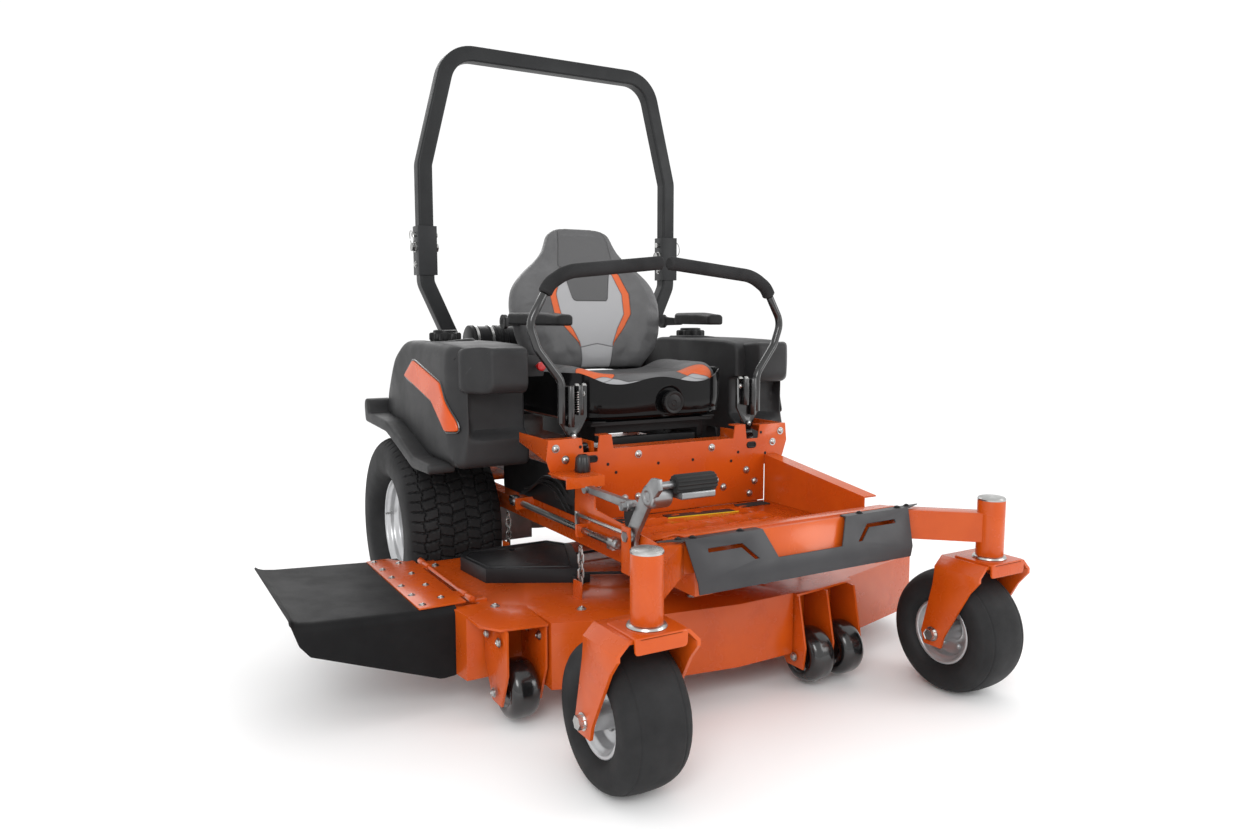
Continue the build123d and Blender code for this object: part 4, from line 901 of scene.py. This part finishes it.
ALLOY = finish("cast_alloy", srgb(150, 151, 152), srgb(120, 121, 122), MOULDED_GRAIN, 700, 0.0002, 0.45,
               metallic=0.9, edge=srgb(180, 180, 180))
ENGINE_BLACK = finish("engine_black", srgb(25, 25, 26), srgb(19, 19, 20), MOULDED_GRAIN, 900, 0.00008, 0.38,
                      edge=srgb(60, 60, 60), specular=0.22)
STEEL_DARK = finish("heat_steel", srgb(96, 92, 88), srgb(70, 60, 52), BRUSHED, 300, 0.0001, 0.45,
                    metallic=0.9)
dress("engine_block", ALLOY, 1.5)
dress("engine_shroud", ENGINE_BLACK, 3.0)
dress("transaxles", ALLOY, 4.0)
dress("engine_guard", SATIN_BLACK, 3.0)
dress("muffler", STEEL_DARK, 4.0)
CANISTER = (0, 1500, 905)
HOSE_RUN = [(-100, 1500, 905), (-20, 1500, 905), (10, 1552, 840), (10, 1552, 757)]
HOSE_RADIUS, HOSE_RIPPLE, HOSE_PITCH = 23.2, 2.4, 9
can = [(-324, CENTRE), (-324, 50), (-320, 57), (-312, 58), (-310, 54), (-300, 54), (-298, 56.5),
       (-290, 56.5), (-288, 54), (-230, 54), (-228, 57), (-216, 57), (-214, 54), (-206, 54), (-204, 57),
       (-192, 57), (-190, 54), (-122, 54), (-112, 48), (-110, 32), (-96, 30), (-96, CENTRE)]


def stepped(path, count):
    """Open path resampled to count even steps; returns the distances along it and its points."""
    travel = np.concatenate([[0], np.cumsum(np.linalg.norm(np.diff(path, axis=0), axis=1))])
    even = np.linspace(0, travel[-1], count)
    return even, np.stack([np.interp(even, travel, path[:, k]) for k in range(3)], 1)


along, hose_path = stepped(eased(HOSE_RUN, 45, 60, closed=False), 150)
swell = HOSE_RADIUS + HOSE_RIPPLE * np.cos(along * 2 * math.pi / HOSE_PITCH)
hose = sweep(hose_path, disc(1, 28)[None] * swell[:, None, None], (0.3, 0.9, -0.2))
strap = slab(eased([(1500, 740), (1560, 740), (1560, 780), (1530, 850), (1500, 855)], 8), "x", -230, -190)
build("air_canister", [turned(can, CANISTER, "x", 64, closed=False), hose, strap], ENGINE_BLACK, "chassis",
      "dark_plastic", "air_cleaner")
rings = [band(x, x + 9, 54.5, 58.6, CANISTER, "x", 64) for x in (-306, -252, -140)]
rings.append(band(-92, -84, 24, 27.6, CANISTER, "x", 48))
build("clamp_bands", rings, ZINC, "chassis", "zinc")
FAN_Y = 1670
BOSS = [(757, CENTRE), (757, 34), (761, 32), (764, 20), (764, CENTRE)]
screen = [band(757, 759.5, outer, outer - width, (0, FAN_Y, 0), "z", 64)
          for outer, width in ((118, 6), (95, 5), (75, 5), (55, 5))]
for a in np.arange(12) * math.pi / 6:
    c, d = math.cos(a), math.sin(a)
    spoke = np.array(oblong(30, 114, -3, 3)) @ np.array([(c, d), (-d, c)])
    screen.append(slab(spoke + np.array([0, FAN_Y]), "z", 757.5, 760, 0.4, 0.6))
screen.append(turned(BOSS, (0, FAN_Y, 0), "z", 48, closed=False))
build("debris_screen", screen, ALLOY, "chassis", "engine_alloy")
BOOT = np.array([(236, CENTRE), (236, 16), (262, 14), (286, 9), (288, CENTRE)])
OIL_FILTER = [(424, CENTRE), (424, 38), (490, 38), (498, 34), (500, CENTRE)]
boots = []
for s in (-1, 1):
    boots.append(turned(BOOT * [s, 1], (0, 1618, 516), "x", 24, closed=False))
    lead = [(s * 284, 1618, 516), (s * 300, 1618, 580), (s * 240, 1650, 640), (s * 150, 1660, 655)]
    boots.append(sweep(eased(lead, 50, 8, closed=False), disc(4, 10), (0, 1, 0.1)))
boots.append(turned(OIL_FILTER, (190, 1560, 0), "z", 40, closed=False))
build("plug_leads", boots, ENGINE_BLACK, "chassis", "dark_plastic")
drum_bands = [band(x, x + 7, 57.5, 60.5, (0, 1862, 500), "x", 64) for x in (-184, -120, 113, 176)]
build("muffler_bands", drum_bands, STEEL_DARK, "chassis", "muffler_steel")


# ------------------------------------------------------------------ chassis panels
# Black inner panels that close the space under the seat: side shrouds with their valve covers,
# a shelf behind the console panel, and the posts and cross piece below the suspension, with
# three control cables along the right rail. The shrouds stand for a black plate the machine has there, and
# the panels are also partly painted shade, dark sheets that fill the shadowy space under the seat.

dress("seat_base", ENGINE_BLACK, 1.0)
panels = []
for s in (-1, 1):
    side = rounded([(688, 440), (1228, 440), (1228, 562), (700, 562), (688, 540)], 8, 10)
    panels.append(slab(side, "x", s * 306.5, s * 310, 0.8, 1.2))
    valve_cover = rounded([(700, 470), (820, 470), (840, 520), (820, 556), (700, 556)], 10, 8)
    panels.append(slab(valve_cover, "x", s * 310, s * 322, 2, 3))
    post = rounded([(790, 560), (870, 560), (862, 648), (812, 648)], 12, 6)
    panels.append(slab(post, "x", s * 236, s * 244, 2, 2))
panels.append(slab(rounded(oblong(-300, 300, 686, 760), 6, 12), "z", 548, 561, 1, 2))
cross = [(-160, 810), (-60, 830), (60, 830), (160, 810), (160, 850), (-160, 850)]
panels.append(slab(rounded(cross, 10, 8), "z", 596, 636, 3, 3))
build("inner_panels", panels, ENGINE_BLACK, "chassis", "dark_plastic")
cables = []
for k, (y, z) in enumerate(((720, 470), (742, 455), (765, 444))):
    run = eased([(-314, y, z), (-330, y + 40, z + 60), (-338, y + 130, z + 70), (-322, y + 260, z + 10),
                 (-314, y + 330, z - 6)], 60, 10, closed=False)
    cables.append(sweep(run, disc(4 - k, 10), (1, 0, 0.2)))
build("control_cables", cables, CAP_BLACK, "chassis", "black_plastic")


# ------------------------------------------------------------------ seat
# Suspension seat: a gloss moulded pan with a wavy front edge, a padded cushion and a bolstered
# back in dark grey vinyl with a pale centre, orange piping bands and stitched seams.

SEAT_TONES = (("band", srgb(206, 92, 40)), ("pale", srgb(160, 160, 162)), ("dark", srgb(80, 80, 81)))


def vinyl():
    """Vinyl coloured by the seat's own attributes: band, pale and dark are signed distances in
    metres to the panels' edges (inside above 0), and the seams dip where one of them is 0 and are darkened
    there, a painted shade in the stitched grooves."""
    made, shader = material("seat_vinyl")
    tree = made.node_tree
    where = node(tree, "ShaderNodeTexCoord")
    seam_parts = []
    base = node(tree, "ShaderNodeGroup", node_tree=MOTTLE)
    tree.links.new(where.outputs["Object"], base.inputs["Position"])
    base.inputs["Tone"].default_value = srgb(92, 92, 93)
    base.inputs["Shade"].default_value = srgb(82, 82, 83)
    # Painted highlight: the mottle lifts convex edges of the vinyl towards this lighter grey.
    base.inputs["Edge"].default_value = srgb(110, 110, 111)
    colour = base.outputs["Color"]
    for title, tone in SEAT_TONES:
        field = node(tree, "ShaderNodeAttribute", attribute_name=title)
        inside = node(tree, "ShaderNodeMapRange", [(field.outputs["Fac"], "Value")])
        inside.inputs["From Min"].default_value = -0.0006
        inside.inputs["From Max"].default_value = 0.0006
        over = node(tree, "ShaderNodeMix", [(inside.outputs[0], "Factor")], data_type="RGBA")
        tree.links.new(colour, over.inputs[6])
        over.inputs[7].default_value = tone
        colour = over.outputs[2]
        away = node(tree, "ShaderNodeMath", [(field.outputs["Fac"], 0)], operation="ABSOLUTE")
        dip = node(tree, "ShaderNodeMapRange", [(away.outputs[0], "Value")], interpolation_type="SMOOTHSTEP")
        dip.inputs["From Max"].default_value = 0.0035
        seam_parts.append(dip.outputs[0])
    both = node(tree, "ShaderNodeMath", [(seam_parts[0], 0), (seam_parts[1], 1)], operation="MINIMUM")
    every = node(tree, "ShaderNodeMath", [(both.outputs[0], 0), (seam_parts[2], 1)], operation="MINIMUM")
    # Painted shade: the seams are darkened towards srgb 30.
    shadow = node(tree, "ShaderNodeMapRange", [(every.outputs[0], "Value")])
    shadow.inputs["From Max"].default_value = 0.5
    shadow.inputs["To Min"].default_value = 0.35
    seam_dark = node(tree, "ShaderNodeMix", [(shadow.outputs[0], "Factor")], data_type="RGBA")
    seam_dark.inputs[6].default_value = srgb(30, 30, 30)
    tree.links.new(colour, seam_dark.inputs[7])
    grain = node(tree, "ShaderNodeGroup", node_tree=LEATHER_GRAIN)
    tree.links.new(where.outputs["Object"], grain.inputs["Position"])
    grain.inputs["Scale"].default_value = 480
    fine = node(tree, "ShaderNodeBump", [(grain.outputs["Height"], "Height")], Strength=0.6, Distance=0.00025)
    deep = node(tree, "ShaderNodeBump", [(every.outputs[0], "Height"), (fine.outputs[0], "Normal")],
                Strength=1.0, Distance=0.002)
    rough = node(tree, "ShaderNodeMapRange", [(base.outputs["Mask"], "Value")])
    rough.inputs["To Min"].default_value = 0.4
    rough.inputs["To Max"].default_value = 0.5
    tree.links.new(seam_dark.outputs[2], shader.inputs["Base Color"])
    tree.links.new(rough.outputs[0], shader.inputs["Roughness"])
    tree.links.new(deep.outputs[0], shader.inputs["Normal"])
    shader.inputs["Specular IOR Level"].default_value = 0.45
    return made


SEAT_VINYL = vinyl()


def inflate(piece, voxel, pressure, cap):
    """Puffs a padded piece: voxel remesh, then cloth under pressure for 20 frames, with each
    point moved at most cap metres from where it began."""
    bpy.context.view_layer.objects.active = piece
    remesh = piece.modifiers.new("remesh", "REMESH")
    remesh.mode = "VOXEL"
    remesh.voxel_size = voxel
    with bpy.context.temp_override(object=piece, active_object=piece, selected_objects=[piece]):
        bpy.ops.object.modifier_apply(modifier="remesh")
    count = len(piece.data.vertices)
    before = np.zeros(count * 3)
    piece.data.vertices.foreach_get("co", before)
    cloth = piece.modifiers.new("cloth", "CLOTH")
    cloth.settings.use_pressure = True
    cloth.settings.uniform_pressure_force = pressure
    cloth.settings.effector_weights.gravity = 0.0
    cloth.point_cache.frame_start = 1
    cloth.point_cache.frame_end = 20
    for moment in range(1, 21):
        bpy.context.scene.frame_set(moment)
    graph = bpy.context.evaluated_depsgraph_get()
    puffed = piece.evaluated_get(graph).to_mesh()
    after = np.zeros(count * 3)
    puffed.vertices.foreach_get("co", after)
    piece.evaluated_get(graph).to_mesh_clear()
    piece.modifiers.remove(cloth)
    before, after = before.reshape(-1, 3), after.reshape(-1, 3)
    shift = after - before
    length = np.linalg.norm(shift, axis=1)[:, None]
    after = before + shift * np.minimum(1, cap / np.maximum(length, 1e-9))
    piece.data.vertices.foreach_set("co", after.ravel())
    bpy.context.scene.frame_set(1)
    piece.data.shade_smooth()


def mark(piece, **fields):
    """Stores signed-distance fields on a piece's points, worked out from machine millimetres."""
    count = len(piece.data.vertices)
    co = np.zeros(count * 3)
    piece.data.vertices.foreach_get("co", co)
    x, y, z = (co.reshape(-1, 3) * 1000 - SHIFT).T
    for title, rule in fields.items():
        layer = piece.data.attributes.new(title, "FLOAT", "POINT")
        layer.data.foreach_set("value", (rule(x, y, z) / 1000).astype(np.float32))


def soften(piece, levels=1):
    """One live subdivision, the same on screen and in the render."""
    smooth = piece.modifiers.new("soft", "SUBSURF")
    smooth.levels = levels
    smooth.render_levels = levels


RECLINE_FOOT = (1180.0, 836.0)
LEAN = np.array([0.25, 0.968])
OUT = np.array([-0.968, 0.25])
BACK_HALF = [(170, -24), (236, 20), (268, 90), (283, 190), (272, 262), (222, 322), (164, 366), (142, 392),
             (132, 420), (120, 452), (96, 474)]


def seat_back_shell():
    """Back as a closed pillow: half width w(h) down the recline line, front = crown + bolsters
    that stand forward where |x| nears w, back = a flatter curve; rows by height, columns round."""
    h = np.linspace(-22, 474, 84)
    table = np.array(BACK_HALF)
    w = np.interp(h, table[:, 1], table[:, 0])
    for _ in range(3):
        w = np.convolve(np.pad(w, 3, "edge"), np.ones(7) / 7, "valid")
    end = np.clip((474 - h) / 26, 0, 1)
    w = w * np.sqrt(np.clip(1 - (1 - end) ** 2 * 0.55, 0, 1))
    t = np.arange(120) * 2 * math.pi / 120
    cx = np.sign(np.cos(t)) * np.abs(np.cos(t)) ** 0.72
    sy = np.sign(np.sin(t)) * np.abs(np.sin(t)) ** 0.6
    u = w[:, None] * cx[None]
    bolster = np.interp(h, [-22, 20, 90, 200, 290, 350, 474], [10, 26, 46, 46, 26, 6, 2])[:, None]
    side = ramp(np.abs(cx), 0.42, 0.86)[None]
    thick = np.interp(h, [-22, 100, 330, 474], [84, 86, 66, 50])[:, None]
    lumbar = (14 * np.exp(-((h - 110) / 90) ** 2))[:, None] * (1 - side)
    front = sy[None] > 0
    depth = np.where(front, (20 + bolster * side + lumbar) * sy[None], thick * sy[None])
    taper = np.clip(np.minimum(h + 22, 474 - h) / 24, 0.0, 1) ** 0.5
    depth = depth * (0.25 + 0.75 * taper[:, None])
    base = np.array(RECLINE_FOOT)
    y = base[0] + h[:, None] * LEAN[0] + depth * OUT[0]
    z = base[1] + h[:, None] * LEAN[1] + depth * OUT[1]
    return skin(np.stack([u, y, z], -1), (False, True), caps=True)


def up_the_back(y, z):
    """Height along the recline line: (y, z) less its foot, projected on the lean."""
    return (y - RECLINE_FOOT[0]) * LEAN[0] + (z - RECLINE_FOOT[1]) * LEAN[1]


def facing(y, z):
    """Distance in front of the recline line; the rear of the back is below 0."""
    return (y - RECLINE_FOOT[0]) * OUT[0] + (z - RECLINE_FOOT[1]) * OUT[1]


def pale_back(x, y, z):
    """Pale centre: half width by height, widest at the shoulders, kept to the front face."""
    h = up_the_back(y, z)
    half = np.interp(h, [-40, 0, 62, 110, 160, 230, 300, 318], [52, 55, 62, 84, 118, 124, 96, 60])
    return np.minimum(np.minimum(half - np.abs(x), 312 - h), facing(y, z) + 2)


def orange_back(x, y, z):
    """Orange band outside the pale centre from the waist to the shoulders."""
    h = up_the_back(y, z)
    half = np.interp(h, [20, 62, 110, 160, 230, 300, 326], [52, 66, 108, 144, 150, 122, 92])
    waist, shoulder = h - 60 + 0.2 * np.abs(x), 322 - h
    return np.minimum(np.minimum(half - np.abs(x), np.minimum(waist, shoulder)), facing(y, z) + 2)


def dark_back(x, y, z):
    """Headrest section reaching down in a tapered tongue, with its stitched outline."""
    h = up_the_back(y, z)
    half = np.interp(h, [205, 214, 300, 330, 420, 474], [56, 66, 84, 104, 92, 78])
    return np.minimum(np.minimum(half - np.abs(x), h - 207), facing(y, z) + 2)


back = build("seat_backrest", [seat_back_shell()], SEAT_VINYL, "seat", "seat_vinyl", "seat_back", sharp=80)
inflate(back, 0.007, 3.0, 0.008)
mark(back, pale=pale_back, band=orange_back, dark=dark_back)
soften(back)


def cushion_shell():
    """Cushion: plan outline carried up from 706 to its crown, edges rounded, side bolsters raised
    by a smooth step in |x| and the front rolled down."""
    plan = np.array([(-221, 792), (-120, 777), (120, 777), (221, 792), (274, 862), (284, 1145), (232, 1158),
                     (-232, 1158), (-284, 1145), (-274, 862)], float)
    ring = rounded(plan, 40, 9, 6)
    points, faces = slab(ring, "z", 706, 818, 8, 34, shrink=26, steps=8)
    x, y, z = points.T
    rise = ramp(z, 730, 800)
    bolster = 26 * ramp(np.abs(x), 120, 245) * ramp(y, 800, 900) * rise
    front = -16 * (1 - ramp(y, 778, 850)) * rise
    dish = -8 * np.exp(-((y - 1010) / 120) ** 2) * (1 - ramp(np.abs(x), 60, 200)) * rise
    return np.stack([x, y, z + bolster + front + dish], 1), faces


def pale_cushion(x, y, z):
    """Pale front lip of the cushion and its sides."""
    line = np.interp(np.abs(x), [0, 90, 160, 250], [806, 800, 830, 812])
    return np.where(z > 740, line - y, -20.0)


def orange_cushion(x, y, z):
    """Orange arcs over each bolster, behind the pale lip."""
    a = np.hypot(np.abs(x) - 176, (y - 846) / 0.62)
    return np.where(z > 740, 62 - a, -20.0)


def dark_cushion(x, y, z):
    """Sewn outline of the seat's sitting panel, which stays the base colour."""
    return np.minimum(150 - np.abs(x), np.minimum(y - 880, 1130 - y)) * (z > 740) - 30.0 * (z <= 740)


cushion = build("seat_cushion_pad", [cushion_shell()], SEAT_VINYL, "seat", "seat_vinyl", "seat_cushion",
                sharp=80)
inflate(cushion, 0.006, 3.0, 0.006)
mark(cushion, pale=pale_cushion, band=orange_cushion, dark=dark_cushion)
soften(cushion)

PAN_BLACK = finish("pan_black", srgb(14, 14, 15), srgb(11, 11, 12), ORANGE_PEEL, 300, 0.00004, 0.14,
                   edge=srgb(36, 36, 36), coat=0.1, coat_rough=0.05, specular=0.16)


KNOB_X, KNOB_Z = 35, 740


def pan_shell():
    """Moulded pan: plan outline carried up from 690 to a wavy rim, drawn in at the foot, with a
    round recess pressed in about the suspension knob; the inner wall stands 8 mm inside."""
    plan = np.array([(-225, 778), (-120, 763), (120, 763), (225, 778), (290, 860), (300, 1150), (240, 1234),
                     (-240, 1234), (-300, 1150), (-290, 860)], float)
    ring = turned_left(rounded(plan, 46, 4.0, 8))
    x, y = ring.T
    front = 1 - ramp(y, 800, 1000)
    wave = 9 * np.cos(x / 270 * 2 * math.pi) * front
    top = 806 + wave + 22 * ramp(np.abs(x), 170, 285)
    top = np.minimum(top, 831)
    t = np.linspace(0, 1, 34)
    z = 691 + (top[None] - 691) * t[:, None]
    draw = 30 * (1 - np.sqrt(1 - (1 - np.clip(t / 0.5, 0, 1)) ** 2.4)) + 3
    outer = [inset(ring, d) for d in draw]
    recess = [8 * (1 - ramp(np.hypot(r[:, 0] - KNOB_X, level - KNOB_Z), 38, 48)) * (r[:, 1] < 800)
              for r, level in zip(outer, z)]
    outer = np.array([np.column_stack([r[:, 0], r[:, 1] + deep, level])
                      for r, deep, level in zip(outer, recess, z)])
    lip = np.column_stack([inset(ring, 3.0), top + 1.2])[None]
    levels = (top - 1, top - 30, np.full(len(ring), 704.0))
    inner = np.array([np.column_stack([inset(ring, 8.0), level]) for level in levels])
    floor_ring = np.column_stack([inset(ring, 30.0), np.full(len(ring), 700.0)])[None]
    return skin(np.concatenate([outer, lip, inner, floor_ring]), (False, True), caps=True)


build("seat_shell", [pan_shell()], PAN_BLACK, "seat", "black_plastic", "seat_pan", sharp=50)
ARM_VINYL = finish("arm_vinyl", srgb(27, 27, 28), srgb(22, 22, 23), LEATHER_GRAIN, 500, 0.0002, 0.42,
                   edge=srgb(54, 54, 54), specular=0.25)
ARM_BRACKET = [(1104, 964), (1190, 962), (1238, 958), (1246, 976), (1236, 996), (1190, 990), (1104, 986)]
for name, s in SIDES:
    plan = rounded([(s * 238, 852), (s * 290, 844), (s * 338, 1128), (s * 288, 1138)], 20, 5, 8)
    pad, faces = slab(plan, "z", 967, 1005, 8, 12, crown=1.0, shrink=8, steps=7)
    pad[:, 2] -= 6 * (1 - ramp(pad[:, 1], 846, 960)) * ramp(pad[:, 2], 975, 1004)
    bracket = slab(rounded(ARM_BRACKET, 10, 4, 5), "x", s * 297, s * 307, 1.5, 1.5)
    hinge = band(s * 296, s * 308, 9, 23.5, (0, 1226, 976), "x", 40)
    rest = build(f"arm_pad_{name}", [(pad, faces), bracket, hinge], ARM_VINYL, f"armrest_{name}", "arm_vinyl",
                 f"armrest_{name}", sharp=50)
knob = [(742, CENTRE), (742, 20), (743, 24), (741.5, 27), (741.5, 32), (744, 34.5), (759, 34.5), (761, 33),
        (761, CENTRE)]
turn = np.arange(144)[:, None] * 2 * math.pi / 144
profile = np.repeat(np.array(knob)[None], 144, 0)
profile[:, 5:8, 1] -= 0.9 * (np.cos(36 * turn) > 0)
axle = (KNOB_X, 0, KNOB_Z)
build("weight_knob", [turned(profile, axle, "y", closed=False), pin(761, 773, 8, axle, "y", 24),
                      turned([(741.5, 6), (740.4, 8), (741.5, 10)], axle, "y", 40)],
      CAP_BLACK, "seat_knob", "black_plastic", "suspension_knob")


# ------------------------------------------------------------------ lap bars
# Steering levers of bent tube in gloss black with foam grips, each on a pivot bracket with a
# coiled return spring and zinc screws.

FOAM = finish("grip_foam", srgb(42, 42, 43), srgb(33, 33, 34), MOULDED_GRAIN, 1600, 0.0003, 0.8, spread=0.1,
              edge=srgb(70, 70, 70), specular=0.25)
BAR_Y = 742
GRIP_RADIUS = 19.8
SPRING_TURNS = 9
LEVER_SCREWS = [(306, 731, 662, 7, 3), (330, 736, 716, 7, 6), (276, 736, 780, 6, 5)]
for name, s in SIDES:
    dress(f"control_arm_{name}", BLACK_GLOSS, 1.0)
    dress(f"lap_bar_{name}", BLACK_GLOSS, 0.8)
    bar = [(s * 386, BAR_Y, 1056), (s * 371, BAR_Y, 1082.5), (s * 318, BAR_Y, 1116), (s * 12, BAR_Y, 1148)]
    along, path = stepped(eased(bar, 40, 10, closed=False), 90)
    near = np.minimum(along, along[-1] - along)
    end_round = 1 - np.sqrt(np.clip(1 - (1 - np.clip(near / 5, 0, 1)) ** 2, 0, 1))
    girth = GRIP_RADIUS - 4 * end_round
    build(f"foam_grip_{name}", [sweep(path, disc(1, 32)[None] * girth[:, None, None], (0, 1, 0))], FOAM,
          f"lap_bar_{name}", "grip_foam", f"lap_grip_{name}")
    turn = np.linspace(0, SPRING_TURNS * 2 * math.pi, 270)
    coil = np.column_stack([s * 292 + 8 * np.cos(turn), 728 + 8 * np.sin(turn), 728 + turn / turn[-1] * 60])
    build(f"return_spring_{name}", [sweep(coil, disc(1.7, 8), (0, 0, 1))], ZINC, f"lap_bar_{name}", "zinc")
    screws = [button((s * 284 + dx, 738, 803), "z", 7, 1, 6) for dx in (-8, 14)]
    screws += [button((s * x, y, z), "y", radius, -1, height) for x, y, z, radius, height in LEVER_SCREWS]
    build(f"lever_screws_{name}", screws, ZINC, f"lap_bar_{name}", "zinc")


# ------------------------------------------------------------------ lift pedal and hand controls
# Cast deck-lift pedal with a ribbed foot roller and its pull rod, the cut-height dial on its
# shelf, and the red blade switch on the tank's inner side.

PEDAL_STEEL = finish("pedal_steel", srgb(160, 161, 162), srgb(130, 131, 132), BRUSHED, 500, 0.0001, 0.32,
                     metallic=0.95)
dress("lift_pedal", PEDAL_STEEL, 2.0)
dress("lift_shaft", ZINC, 0.8)
turn = np.arange(168)[:, None] * 2 * math.pi / 168
ROLLER = (0, 235, 607)
length = np.array([(-299, 9.5), (-299, 19), (-296, 21), (-190, 21), (-187, 19), (-187, 9.5)])
profile = np.repeat(length[None], 168, 0)
profile[:, 1:5, 1] += 1.9 * np.cos(14 * turn)
build("foot_roller", [turned(profile, ROLLER, "x")], BELT_BLACK, "pedal", "pedal_rubber", "pedal_roller")
boss = eased([(-354, 10), (-354, 24), (-346, 30), (-302, 30), (-296, 26), (-296, 10)], 5)
roller_end = [(-184, CENTRE), (-184, 9), (-178, 9), (-176, 6), (-176, CENTRE)]
hub = [turned(boss, (0, 267, 578), "x", 48), turned(roller_end, ROLLER, "x", 24, closed=False),
       hexagon((0, 345, 468), "x", 24, -360, -368),
       slab(eased(oblong(212, 262, 572, 590), 5), "x", -290, -196)]
build("pedal_hub", hub, PEDAL_STEEL, "pedal", "pedal_steel")
STAY_FRONT = (0, 352, 541)
arm = eased([(340, 530), (352, 530), (580, 536), (580, 554), (352, 552), (340, 552)], 4)
stay_pin = eased([(-362, CENTRE), (-362, 13), (-332, 13), (-332, CENTRE)], 3)
stay = [slab(arm, "x", -352, -336), turned(stay_pin, STAY_FRONT, "x", 24, closed=False),
        hexagon(STAY_FRONT, "x", 20, -362, -372), pin(-358, -331, 12, (0, 574, 545), "x", 24)]
build("stay_arm", stay, PEDAL_STEEL, "chassis", "zinc")
rod_ends = []
for y in (440, 1060):
    profile = [(y - 22, CENTRE), (y - 22, 10), (y - 14, 14), (y + 14, 14), (y + 22, 10), (y + 22, CENTRE)]
    rod_ends.append(turned(eased(profile, 3), (-344, 0, 428), "y", 32, closed=False))
build("rod_ends", rod_ends, PEDAL_STEEL, "lift_rod", "zinc")
quadrant = rounded([(330, 478), (392, 478), (400, 520), (372, 548), (330, 540), (312, 512)], 14, 4)
build("pedal_quadrant", [slab(quadrant, "x", -339, -333, 1, 1)], ENGINE_BLACK, "chassis", "dark_plastic")
DIAL_BLACK = finish("dial_black", srgb(26, 26, 27), srgb(20, 20, 21), MOULDED_GRAIN, 900, 0.00006, 0.3)
turn = np.arange(128)[:, None] * 2 * math.pi / 128
dial = np.array([(579, CENTRE), (579, 20), (584, 22), (600, 20.5), (618, 19), (622, 16), (625.5, 12),
                 (625.5, CENTRE)])
profile = np.repeat(dial[None], 128, 0)
profile[:, 2:6, 1] -= 1.6 * (0.5 + 0.5 * np.cos(8 * turn))
build("height_dial_cap", [turned(profile, (-326, 640, 0), "z", closed=False)], DIAL_BLACK, "height_dial",
      "black_plastic", "height_knob")
RED = finish("switch_red", srgb(190, 16, 18), srgb(170, 10, 12), ORANGE_PEEL, 500, 0.00004, 0.25,
             edge=srgb(220, 60, 60), coat=0.4)
mushroom = [(850, CENTRE), (849, 9), (850.5, 12), (853, 13.2), (860, 13.2), (866, 9.5), (868, 8), (868, 5),
            (893, 5), (893, CENTRE)]
plate = rounded(oblong(822, 882, -376, -324), 6, 5)
build("switch_plate", [slab(plate, "y", 893, 883, 1, 1.5)], TANK_GREY, "chassis", "dark_plastic")
switch = turned(mushroom, (-345, 0, 852), "y", 40, closed=False)
build("blade_switch_cap", [switch], RED, "blade_switch", "red_plastic", "pto_knob")
